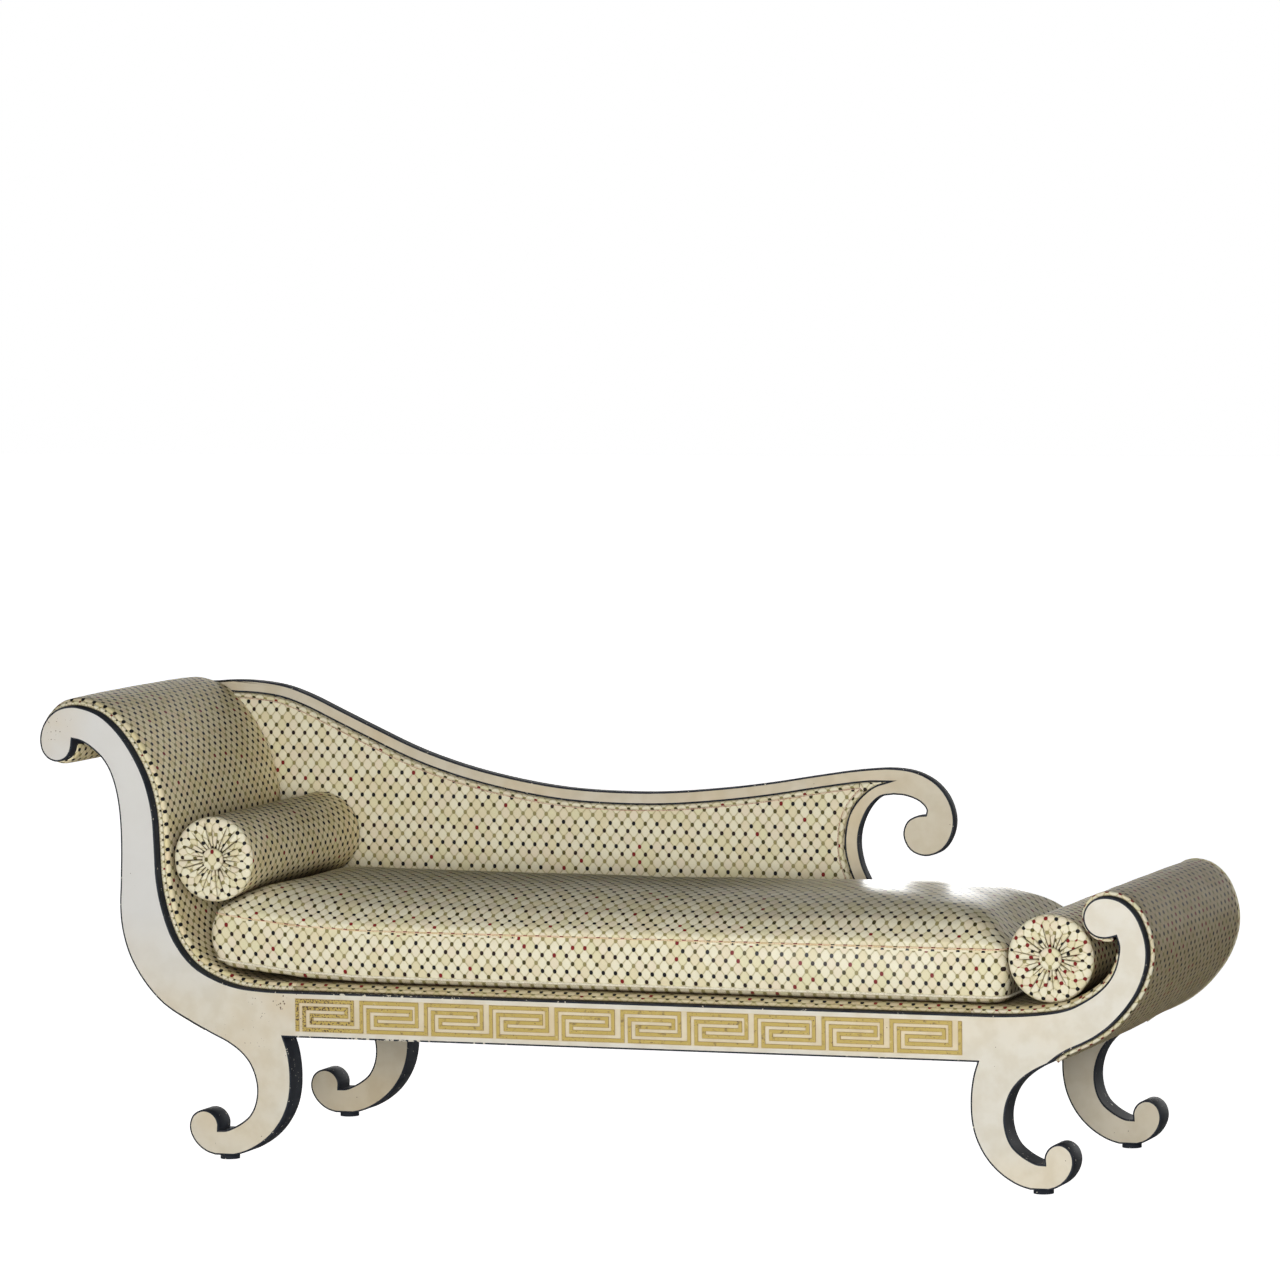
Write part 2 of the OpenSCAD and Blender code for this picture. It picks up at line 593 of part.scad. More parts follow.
module seat_deck() {
    deck_top = rail_h + pad_proud;
    deck_run = seat_run - 2 * cover_seam;
    color(cream_fabric)
        at_head() {
            translate([cover_seam, pad_y, rail_h])
                cube([deck_run, back_face_y - pad_y, pad_proud]);
            translate([cover_seam, front_inner_y, deck_under_z])
                cube([deck_run, back_face_y - front_inner_y, deck_top - deck_under_z]);
            translate([stile_end, back_face_y, rail_h])
                cube([seat_run - cover_seam - stile_end, pad_end_y - back_face_y, pad_proud]);
        }
}

// Rails across the frame, under the seat and inside the scrolls
cross_rail_pitch = (seat_run + 2 * cross_rail_out) / (cross_rail_count - 1);
module seat_cross_rails() {
    color(bare_wood)
        at_head()
            for (k = [0 : cross_rail_count - 1])
                translate([k * cross_rail_pitch - cross_rail_out - cross_rail_t / 2, front_inner_y, cross_rail_lift])
                    cube([cross_rail_t, inner_depth, cross_rail_h]);
}
module scroll_rail(shares, x, z) {
    translate([shares[0] * x - scroll_rail_t / 2, front_inner_y, shares[1] * z - scroll_rail_h / 2])
        cube([scroll_rail_t, inner_depth, scroll_rail_h]);
}
module eye_rail(shares, x, z) {
    translate([shares[0] * x, front_inner_y + inner_depth, shares[1] * z])
        rotate([90, 0, 0])
            cylinder(h = inner_depth, r = eye_rail_r, $fn = round_steps);
}
module head_scroll_rails() {
    color(bare_wood)
        at_head() {
            for (s = head_rail_shares)
                scroll_rail(s, -head_reach, head_h);
            eye_rail(head_eye_shares, -head_reach, head_h);
            eye_rail(head_neck_shares, -head_reach, head_h);
        }
}
module foot_scroll_rails() {
    color(bare_wood)
        at_foot() {
            scroll_rail(foot_rail_shares, foot_reach, foot_h);
            eye_rail(foot_eye_centre_shares, foot_reach, foot_h);
            eye_rail(foot_neck_shares, foot_reach, foot_h);
        }
}
module seat_battens() {
    color(bare_wood)
        at_head()
            for (y = [front_inner_y, rear_y - batten_w])
                translate([0, y, cross_rail_top_z])
                    cube([seat_run, batten_w, batten_h]);
}
module seat_webbing() {
    pitch = (seat_run - strap_w) / (strap_count - 1);
    color(jute)
        at_head()
            for (k = [0 : strap_count - 1])
                translate([k * pitch, front_inner_y, batten_top_z])
                    cube([strap_w, inner_depth, strap_t]);
}

// Blocks in the corners between the outer cross rails and the seat rails
block_x = [cross_rail_t / 2 - cross_rail_out, seat_run + cross_rail_out - cross_rail_t / 2 - block_l];
module block_screw_set(r, gap) {
    at_head()
        for (x = block_x)
            translate([x == block_x[0] ? block_l / 2 : seat_run - block_l / 2, 0,
                cross_rail_lift + cross_rail_h / 2]) {
                translate([0, front_inner_y + block_t, 0])
                    rotate([90, 0, 0])
                        cylinder(h = screw_l + gap, r = r, $fn = round_steps);
                translate([0, rear_y - block_t, 0])
                    rotate([-90, 0, 0])
                        cylinder(h = screw_l + gap, r = r, $fn = round_steps);
            }
}
module corner_blocks() {
    color(bare_wood)
        difference() {
            at_head()
                for (x = block_x) {
                    translate([x, front_inner_y, cross_rail_lift])
                        cube([block_l, block_t, cross_rail_h]);
                    translate([x, rear_y - block_t, cross_rail_lift])
                        cube([block_l, block_t, cross_rail_h]);
                }
            block_screw_set(screw_r + dowel_clear, dowel_clear);
        }
}
module block_screws() {
    color(steel) {
        block_screw_set(screw_r, 0);
        at_head()
            for (x = [block_l / 2, seat_run - block_l / 2])
                translate([x, 0, cross_rail_lift + cross_rail_h / 2]) {
                    translate([0, front_inner_y + block_t + screw_head_shares[1] * screw_r, 0])
                        rotate([90, 0, 0])
                            cylinder(h = screw_head_shares[1] * screw_r, r = screw_head_shares[0] * screw_r,
                                $fn = round_steps);
                    translate([0, rear_y - block_t - screw_head_shares[1] * screw_r, 0])
                        rotate([-90, 0, 0])
                            cylinder(h = screw_head_shares[1] * screw_r, r = screw_head_shares[0] * screw_r,
                                $fn = round_steps);
                }
    }
}
module frame_dowels() {
    color(bare_wood)
        for (y = [front_y, rear_y])
            side_dowels(y, dowel_r, dowel_l);
}
module dust_cover() {
    color(black_cloth)
        at_head()
            translate([-cross_rail_out - cross_rail_t / 2, front_inner_y, cross_rail_lift - dust_cover_t])
                cube([seat_run + 2 * cross_rail_out + cross_rail_t, inner_depth, dust_cover_t]);
}
module glides() {
    color(dark_paint)
        for (y = [front_y, rear_y], x = [rail_x - head_leg_inset - glide_share * head_leg_reach,
            rail_x + seat_run + foot_leg_inset + glide_share * foot_leg_reach])
            translate([x, y + board_t / 2, 0])
                cylinder(h = glide_h, r = glide_r, $fn = round_steps);
}

// The key: one unbroken line that turns in on itself once in each repeat
key_pitch = (seat_run - 2 * key_margin - key_line) / key_units;
key_row = (key_h - key_line) / key_rows;
function key_turns(x) = let (c = [for (s = key_column_shares) x + s * key_pitch], r = key_row)
    [[c[0], 0], [c[0], 4 * r], [c[4], 4 * r], [c[4], r], [c[2], r], [c[2], 2 * r], [c[3], 2 * r],
        [c[3], 3 * r], [c[1], 3 * r], [c[1], 0]];
key_path = concat([for (k = [0 : key_units - 1]) each key_turns(k * key_pitch)],
    [[key_units * key_pitch, 0], [key_units * key_pitch, key_rows * key_row]]);
function unit(v) = v / norm(v);
function mitre(i, d) =
    let (n = len(key_path) - 1,
        into = unit(key_path[max(i, 1)] - key_path[max(i, 1) - 1]),
        onward = unit(key_path[min(i, n - 1) + 1] - key_path[min(i, n - 1)]),
        side_in = [into[1], -into[0]], side_on = [onward[1], -onward[0]],
        tip = i == 0 ? -onward : i == n ? into : [0, 0])
    key_path[i] + d * (into == onward ? side_in : side_in + side_on) + key_line / 2 * tip;
key_outline = concat([for (i = [0 : len(key_path) - 1]) mitre(i, key_line / 2)],
    [for (i = [len(key_path) - 1 : -1 : 0]) mitre(i, -key_line / 2)]);
module key_moulding() {
    color(gold)
        at_head()
            translate([key_margin + key_line / 2, 0, (rail_h - key_h + key_line) / 2])
                slab(key_outline, front_y - key_relief, front_y);
}

module seat_cushion() {
    color(cream_fabric)
        at_head() ring_loft(cushion_rings, cushion_cap);
}

// A bolster with its ends gathered in pleats to a flat seat for the button
bolster_sides = bolster_sides_per_pleat * pleats;
function bolster_ring(r, y, wave, toward) = [for (i = [0 : bolster_sides - 1])
    let (a = 360 * i / bolster_sides) [r * sin(a), y + toward * wave * cos(pleats * a), r * cos(a)]];
function bolster_end(y, toward) = concat(
    [for (s = bolster_end_shares) bolster_ring(s[0] * bolster_r, y + toward * s[1] * end_swell,
        s[2] * pleat_d, toward)],
    [bolster_ring(button_r, y, 0, toward)]);
module bolster() {
    ring_loft(concat(reversed(bolster_end(bolster_front_y, -1)), bolster_end(bolster_rear_y, 1)),
        [[for (i = [0 : bolster_sides - 1]) i]]);
}
module bolster_buttons() {
    for (side = [[bolster_front_y, 90], [bolster_rear_y, -90]])
        translate([0, side[0], 0])
            rotate([side[1], 0, 0])
                rotate_extrude($fn = round_steps)
                    polygon([for (s = button_shares) [s[0] * button_r, s[1] * button_h]]);
}
module head_bolster() {
    color(cream_fabric)
        at_head() translate([head_bolster_x, 0, head_bolster_z]) bolster();
}
module head_bolster_buttons() {
    color(cream_fabric)
        at_head() translate([head_bolster_x, 0, head_bolster_z]) bolster_buttons();
}
module foot_bolster() {
    color(cream_fabric)
        at_foot() translate([foot_bolster_x, 0, foot_bolster_z]) bolster();
}
module foot_bolster_buttons() {
    color(cream_fabric)
        at_foot() translate([foot_bolster_x, 0, foot_bolster_z]) bolster_buttons();
}

head_scroll(front_y);  // front_head_scroll
seat_rail(front_y);  // front_seat_rail
foot_scroll(front_y);  // front_foot_scroll
head_leg(front_y);  // front_head_leg
foot_leg(front_y);  // front_foot_leg
head_scroll(rear_y);  // rear_head_scroll
seat_rail(rear_y);  // rear_seat_rail
foot_scroll(rear_y);  // rear_foot_scroll
head_leg(rear_y);  // rear_head_leg
foot_leg(rear_y);  // rear_foot_leg
back_crest_rail();
back_stile();
back_core();
back_pad();
back_outside_pad();
head_pad();
head_outside_pad();
foot_pad();
foot_outside_pad();
seat_deck();
seat_cross_rails();
seat_battens();
head_scroll_rails();
foot_scroll_rails();
corner_blocks();
block_screws();
frame_dowels();
seat_webbing();
dust_cover();
glides();
key_moulding();
seat_cushion();
head_bolster();
head_bolster_buttons();
foot_bolster();
foot_bolster_buttons();
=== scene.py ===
import json
import math
import random

import bmesh
import bpy
from mathutils import Matrix, Vector, noise

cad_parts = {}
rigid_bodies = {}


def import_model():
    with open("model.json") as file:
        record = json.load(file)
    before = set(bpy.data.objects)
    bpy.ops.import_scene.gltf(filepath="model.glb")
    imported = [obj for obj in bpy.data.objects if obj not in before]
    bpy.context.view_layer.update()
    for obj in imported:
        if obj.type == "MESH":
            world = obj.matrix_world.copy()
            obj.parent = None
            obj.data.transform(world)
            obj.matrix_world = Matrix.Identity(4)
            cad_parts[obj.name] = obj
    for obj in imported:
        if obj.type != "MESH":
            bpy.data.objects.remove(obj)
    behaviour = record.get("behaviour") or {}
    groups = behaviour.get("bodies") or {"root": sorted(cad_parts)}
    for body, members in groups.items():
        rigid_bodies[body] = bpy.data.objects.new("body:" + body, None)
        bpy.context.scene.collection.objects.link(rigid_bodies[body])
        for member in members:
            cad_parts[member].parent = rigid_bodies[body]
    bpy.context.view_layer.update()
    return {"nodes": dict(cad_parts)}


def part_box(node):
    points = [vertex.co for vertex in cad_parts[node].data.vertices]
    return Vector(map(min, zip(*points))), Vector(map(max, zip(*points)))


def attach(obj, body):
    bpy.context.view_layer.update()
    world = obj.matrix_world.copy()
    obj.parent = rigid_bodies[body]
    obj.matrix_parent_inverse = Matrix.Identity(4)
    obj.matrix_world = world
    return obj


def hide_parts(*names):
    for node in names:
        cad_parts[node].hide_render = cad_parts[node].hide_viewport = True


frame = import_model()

# The camera stands well in front of the foot end, at about the height of the eye, and looks
# slightly down at the whole daybed.
view_turn = math.radians(20.15)
view_dip = math.radians(3.92)
view_roll = math.radians(-0.70)
lens_data = bpy.data.cameras.new("photo_view")
lens_data.sensor_width = 36
lens_data.lens = 181.4
lens_data.clip_end = 60
photo_view = bpy.data.objects.new("photo_view", lens_data)
bpy.context.collection.objects.link(photo_view)
photo_view.matrix_world = (
    Matrix.Translation((4.0564, -11.020, 1.744))
    @ Matrix.Rotation(view_turn, 4, "Z")
    @ Matrix.Rotation(math.radians(90) - view_dip, 4, "X")
    @ Matrix.Rotation(view_roll, 4, "Z")
)
bpy.context.scene.camera = photo_view
bpy.context.scene.view_settings.view_transform = "Standard"


# The paint on the side frames: aged ivory with a warm cast in the scrolls, fine cracks and a few
# brown specks. The edges and a narrow border are dark blue-black, with small chips along them.
def add(tree, kind, links=None, **settings):
    """Adds a shader node, with its settings and its inputs or what feeds them."""
    made = tree.nodes.new("ShaderNode" + kind)
    for name, value in settings.items():
        setattr(made, name, value)
    for socket, value in (links or {}).items():
        if isinstance(value, bpy.types.NodeSocket):
            tree.links.new(value, made.inputs[socket])
        else:
            made.inputs[socket].default_value = value
    return made


def new_finish(name, **sockets):
    """A material with its shader, whose constant sockets are set directly."""
    material = bpy.data.materials.new(name)
    material.use_nodes = True
    shader = material.node_tree.nodes["Principled BSDF"]
    for socket, value in sockets.items():
        shader.inputs[socket.replace("_", " ")].default_value = value
    return material, material.node_tree, shader


def ramp(tree, factor, *stops):
    """A colour ramp from pairs of place and colour."""
    made = add(tree, "ValToRGB", {"Fac": factor})
    band = made.color_ramp
    while len(band.elements) < len(stops):
        band.elements.new(0.5)
    for element, (place, colour) in zip(band.elements, stops):
        element.position = place
        element.color = (*colour, 1)
    return made.outputs["Color"]


def mixed(tree, factor, first, second, way="MIX"):
    """A mix of two colours."""
    made = add(tree, "Mix", data_type="RGBA", blend_type=way)
    for index, value in ((0, factor), (6, first), (7, second)):
        if isinstance(value, bpy.types.NodeSocket):
            tree.links.new(value, made.inputs[index])
        elif index:
            made.inputs[index].default_value = (*value, 1)
        else:
            made.inputs[index].default_value = value
    return made.outputs[2]


def grain(tree, where, scale, detail=3.0, roughness=0.5):
    """Noise on the given coordinates."""
    made = add(tree, "TexNoise", {"Vector": where, "Scale": scale, "Detail": detail, "Roughness": roughness})
    return made.outputs["Fac"]


def math_node(tree, operation, *values):
    """A Math node on sockets or numbers."""
    return add(tree, "Math", dict(enumerate(values)), operation=operation).outputs[0]


def near_spot(tree, where, spot, reach):
    """One near a spot and nothing past its reach."""
    away = add(tree, "VectorMath", {0: where, 1: spot}, operation="DISTANCE").outputs["Value"]
    near = math_node(tree, "SUBTRACT", 1.0, math_node(tree, "DIVIDE", away, reach))
    return math_node(tree, "MAXIMUM", near, 0.0)


ivory = (0.715, 0.678, 0.58)
ivory_warm = (0.71, 0.64, 0.50)
ivory_white = (0.69, 0.685, 0.665)
ivory_grey = (0.70, 0.67, 0.59)
ivory_dirty = (0.66, 0.55, 0.38)
speck_brown = (0.16, 0.10, 0.06)
worn_spots = (
    ((-0.66, -0.31, 0.20), 0.085),
    ((-0.55, -0.31, 0.285), 0.06),
    ((-1.02, -0.31, 0.79), 0.08),
    ((-0.60, -0.31, 0.29), 0.08),
    ((-0.73, -0.31, 0.06), 0.07),
)
ivory_paint, tree, shader = new_finish("ivory_paint", Roughness=0.45, Specular_IOR_Level=0.35)
place = add(tree, "TexCoord").outputs["Object"]
tone = ramp(tree, grain(tree, place, 4.0), (0.33, ivory_warm), (0.5, ivory), (0.7, ivory_grey))
wash = ramp(tree, grain(tree, place, 30.0, 5.0), (0.38, (0.93, 0.91, 0.87)), (0.6, (1, 1, 1)))
tone = mixed(tree, 1.0, tone, wash, "MULTIPLY")
fresh = math_node(tree, "MULTIPLY", near_spot(tree, place, (-0.86, -0.31, 0.64), 0.40), 1.6)
tone = mixed(tree, math_node(tree, "MINIMUM", fresh, 0.85), tone, ivory_white)
worn = 0.0
for spot, reach in worn_spots:
    worn = math_node(tree, "ADD", worn, near_spot(tree, place, spot, reach))
smudge = math_node(tree, "MULTIPLY", worn, grain(tree, place, 26.0, 4.0))
tone = mixed(tree, math_node(tree, "MULTIPLY", smudge, 0.8), tone, ivory_dirty)
speck = add(tree, "TexVoronoi", {"Vector": place, "Scale": 190.0, "Randomness": 1.0})
small = math_node(tree, "LESS_THAN", speck.outputs["Distance"], math_node(tree, "MULTIPLY", worn, 0.24))
patch = math_node(tree, "GREATER_THAN", grain(tree, place, 40.0), 0.57)
tone = mixed(tree, math_node(tree, "MULTIPLY", small, patch), tone, speck_brown)
stray = add(tree, "TexVoronoi", {"Vector": place, "Scale": 31.0, "Randomness": 1.0})
tone = mixed(tree, math_node(tree, "LESS_THAN", stray.outputs["Distance"], 0.028), tone, speck_brown)
along, depth, height = add(tree, "SeparateXYZ", {0: place}).outputs
# Painted shade: the paint is darker and warmer towards the back, standing in for light falling off with
# distance.
back_shade = ramp(tree, math_node(tree, "ADD", depth, 0.3), (0.0, (1, 1, 1)), (0.55, (0.90, 0.86, 0.79)))
tone = mixed(tree, 1.0, tone, back_shade, "MULTIPLY")
key_ground = math_node(tree, "COMPARE", height, 0.2715, 0.031)
key_ground = math_node(tree, "MULTIPLY", key_ground, math_node(tree, "COMPARE", along, 0.084, 0.634))
key_ground = math_node(tree, "MULTIPLY", key_ground, math_node(tree, "LESS_THAN", depth, -0.3))
tone = mixed(tree, key_ground, tone, mixed(tree, 1.0, tone, (1.0, 0.93, 0.78), "MULTIPLY"))
# Painted shade: the ground beside the key is darkened where ambient occlusion finds the corners at the
# moulding's foot.
crevice = add(tree, "AmbientOcclusion", {"Distance": 0.004}, samples=8).outputs["AO"]
ao_shade = ramp(tree, crevice, (0.55, (0.62, 0.48, 0.30)), (0.92, (1, 1, 1)))
tone = mixed(tree, key_ground, tone, mixed(tree, 1.0, tone, ao_shade, "MULTIPLY"))
tree.links.new(tone, shader.inputs["Base Color"])
relief = add(tree, "Bump", {"Height": grain(tree, place, 160.0, 4.0), "Strength": 0.12, "Distance": 0.0006})
tree.links.new(relief.outputs[0], shader.inputs["Normal"])

edge_blue = (0.016, 0.019, 0.027)
edge_worn = (0.042, 0.047, 0.058)
edge_chip = (0.62, 0.58, 0.48)
dark_paint, tree, shader = new_finish("dark_paint", Roughness=0.65, IOR=1.2)
place = add(tree, "TexCoord").outputs["Object"]
tone = ramp(tree, grain(tree, place, 24.0), (0.3, edge_blue), (0.75, edge_worn))
chipped = math_node(tree, "MULTIPLY", near_spot(tree, place, (-0.36, -0.31, 0.23), 0.24), 0.20)
chip = math_node(tree, "GREATER_THAN", math_node(tree, "ADD", grain(tree, place, 150.0, 2.0), chipped), 0.72)
tone = mixed(tree, chip, tone, edge_chip)
tree.links.new(tone, shader.inputs["Base Color"])
relief = add(tree, "Bump", {"Height": grain(tree, place, 90.0), "Strength": 0.15, "Distance": 0.0006})
tree.links.new(relief.outputs[0], shader.inputs["Normal"])


def only(*things):
    """Leaves only these objects selected, the last one active."""
    bpy.ops.object.select_all(action="DESELECT")
    for thing in things:
        thing.select_set(True)
        bpy.context.view_layer.objects.active = thing


def cad_copy(node, name):
    """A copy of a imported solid, with its loose triangles merged into one skin."""
    made = bpy.data.objects.new(name, frame["nodes"][node].data.copy())
    made.data.materials.clear()
    bpy.context.collection.objects.link(made)
    only(made)
    bpy.ops.object.mode_set(mode="EDIT")
    bpy.ops.mesh.select_all(action="SELECT")
    bpy.ops.mesh.remove_doubles(threshold=0.00002)
    bpy.ops.object.mode_set(mode="OBJECT")
    return made


def glued(nodes, name):
    """The boards of one side frame, joined as if glued and painted over."""
    whole = cad_copy(nodes[0], name)
    for node in nodes[1:]:
        board = cad_copy(node, name + "_board")
        only(whole)
        joint = whole.modifiers.new("glue", "BOOLEAN")
        joint.operation = "UNION"
        joint.solver = "EXACT"
        joint.object = board
        bpy.ops.object.modifier_apply(modifier=joint.name)
        bpy.data.objects.remove(board)
    return whole


border_w = 0.0032
arris = 0.0009


def painted(board):
    """Drops the hollows inside a board, insets its painted border and softens its arris."""
    only(board)
    bpy.ops.object.mode_set(mode="EDIT")
    bpy.ops.mesh.select_mode(type="VERT")
    bpy.ops.mesh.select_all(action="DESELECT")
    skin = bmesh.from_edit_mesh(board.data)
    min(skin.verts, key=lambda v: v.co.z).select_set(True)
    skin.select_flush_mode()
    bpy.ops.mesh.select_linked()
    bpy.ops.mesh.select_all(action="INVERT")
    bpy.ops.mesh.delete(type="VERT")
    bpy.ops.mesh.select_all(action="SELECT")
    bpy.ops.mesh.dissolve_limited(angle_limit=math.radians(0.15))
    bpy.ops.mesh.select_all(action="DESELECT")
    bpy.ops.mesh.select_mode(type="FACE")
    skin = bmesh.from_edit_mesh(board.data)
    for face in skin.faces:
        face.material_index = 1
        face.select_set(abs(face.normal.y) > 0.99)
    bmesh.update_edit_mesh(board.data)
    bpy.ops.mesh.inset(thickness=border_w, depth=0, use_even_offset=True)
    skin = bmesh.from_edit_mesh(board.data)
    for face in skin.faces:
        if face.select:
            face.material_index = 0
    bpy.ops.mesh.select_mode(type="EDGE")
    skin = bmesh.from_edit_mesh(board.data)
    for edge in skin.edges:
        flat = [abs(face.normal.y) > 0.99 for face in edge.link_faces]
        edge.select_set(len(flat) == 2 and flat[0] != flat[1])
    bmesh.update_edit_mesh(board.data)
    bpy.ops.mesh.bevel(offset=arris, segments=2, clamp_overlap=False)
    bpy.ops.object.mode_set(mode="OBJECT")
    board.data.materials.append(ivory_paint)
    board.data.materials.append(dark_paint)
    only(board)
    bpy.ops.object.shade_smooth_by_angle(angle=math.radians(28))
    return board


for side in ("front", "rear"):
    nodes = [side + end for end in ("_seat_rail", "_head_scroll", "_foot_scroll", "_head_leg", "_foot_leg")]
    side_frame = painted(glued(nodes, side + "_side_frame"))
    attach(side_frame, "frame")
    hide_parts(*nodes)

# The crest rail and the stile of the back, sawn from thinner boards and painted like the frames.
back_rim = painted(glued(["back_crest_rail", "back_stile"], "back_crest_and_stile"))
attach(back_rim, "frame")
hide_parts("back_crest_rail", "back_stile")

# The key moulding: a thin raised line of gilt gesso, rubbed along its arrises. Its sides and
# bevels take a darker copy of the gilt, painted shade for the turn of a rounded ribbon.
gilt = (0.50, 0.37, 0.10)
gilt_rubbed = (0.64, 0.52, 0.22)
gilt_dark = (0.24, 0.17, 0.06)


def gesso(name, base, rubbed, dark):
    """Gilt paint on gesso, in a tone, with dark grains where it is worn at the head end."""
    material, tree, shader = new_finish(name, Roughness=0.5, Specular_IOR_Level=0.4)
    place = add(tree, "TexCoord").outputs["Object"]
    tone = ramp(tree, grain(tree, place, 90.0, 4.0), (0.30, dark), (0.42, base), (0.62, base), (0.78, rubbed))
    worn = near_spot(tree, place, (-0.52, -0.31, 0.29), 0.14)
    bare = math_node(tree, "ADD", grain(tree, place, 260.0, 3.0), math_node(tree, "MULTIPLY", worn, 0.16))
    tone = mixed(tree, math_node(tree, "GREATER_THAN", bare, 0.66), tone, (0.10, 0.06, 0.03))
    tree.links.new(tone, shader.inputs["Base Color"])
    relief = add(tree, "Bump", {"Height": grain(tree, place, 220.0), "Strength": 0.3, "Distance": 0.0005})
    tree.links.new(relief.outputs[0], shader.inputs["Normal"])
    return material


gilt_paint = gesso("gilt_paint", gilt, gilt_rubbed, gilt_dark)
# Painted shade: a darker copy of the gilt for the moulding's sides and bevels.
gilt_side_shade = gesso("gilt_side_shade", gilt_dark, gilt, (0.14, 0.09, 0.03))
key = cad_copy("key_moulding", "gilt_key")
only(key)
bpy.ops.object.mode_set(mode="EDIT")
bpy.ops.mesh.select_all(action="SELECT")
bpy.ops.mesh.dissolve_limited(angle_limit=math.radians(0.5))
bpy.ops.mesh.select_all(action="DESELECT")
bpy.ops.mesh.select_mode(type="EDGE")
skin = bmesh.from_edit_mesh(key.data)
key_face = min(v.co.y for v in skin.verts)
for edge in skin.edges:
    on_face = all(abs(v.co.y - key_face) < 0.0001 for v in edge.verts)
    edge.select_set(on_face and any(abs(f.normal.y) < 0.5 for f in edge.link_faces))
bmesh.update_edit_mesh(key.data)
bpy.ops.mesh.bevel(offset=0.0011, segments=2, clamp_overlap=False)
bpy.ops.object.mode_set(mode="OBJECT")
key.data.materials.append(gilt_paint)
key.data.materials.append(gilt_side_shade)
for polygon in key.data.polygons:
    polygon.material_index = 0 if abs(polygon.normal.y) > 0.9 else 1
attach(key, "frame")
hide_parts("key_moulding")

# The fabric: a heavy cream weave with a lattice of thin olive lines and a small dot on each
# crossing, navy, black-brown, olive or dark red. U and V are metres on the cloth. The tints and
# the sheen toward the foot end follow the light in the picture: the tinted copies are painted
# light and shade.
lattice_u = 0.0233
lattice_v = 0.0289
cream_light = (0.87, 0.82, 0.63)
cream_deep = (0.80, 0.72, 0.49)
cream_pink = (0.84, 0.75, 0.58)
cream_green = (0.80, 0.76, 0.51)
line_olive = (0.42, 0.37, 0.19)
navy = (0.0075, 0.0075, 0.0095)
brown_black = (0.022, 0.011, 0.008)
dark_olive = (0.050, 0.042, 0.012)
olive = (0.100, 0.083, 0.024)
pale_olive = (0.30, 0.26, 0.11)


def row_ramp(tree, factor, colours):
    """One flat colour after another."""
    made = ramp(tree, factor, *((k / len(colours), colour) for k, colour in enumerate(colours)))
    made.node.color_ramp.interpolation = "CONSTANT"
    return made


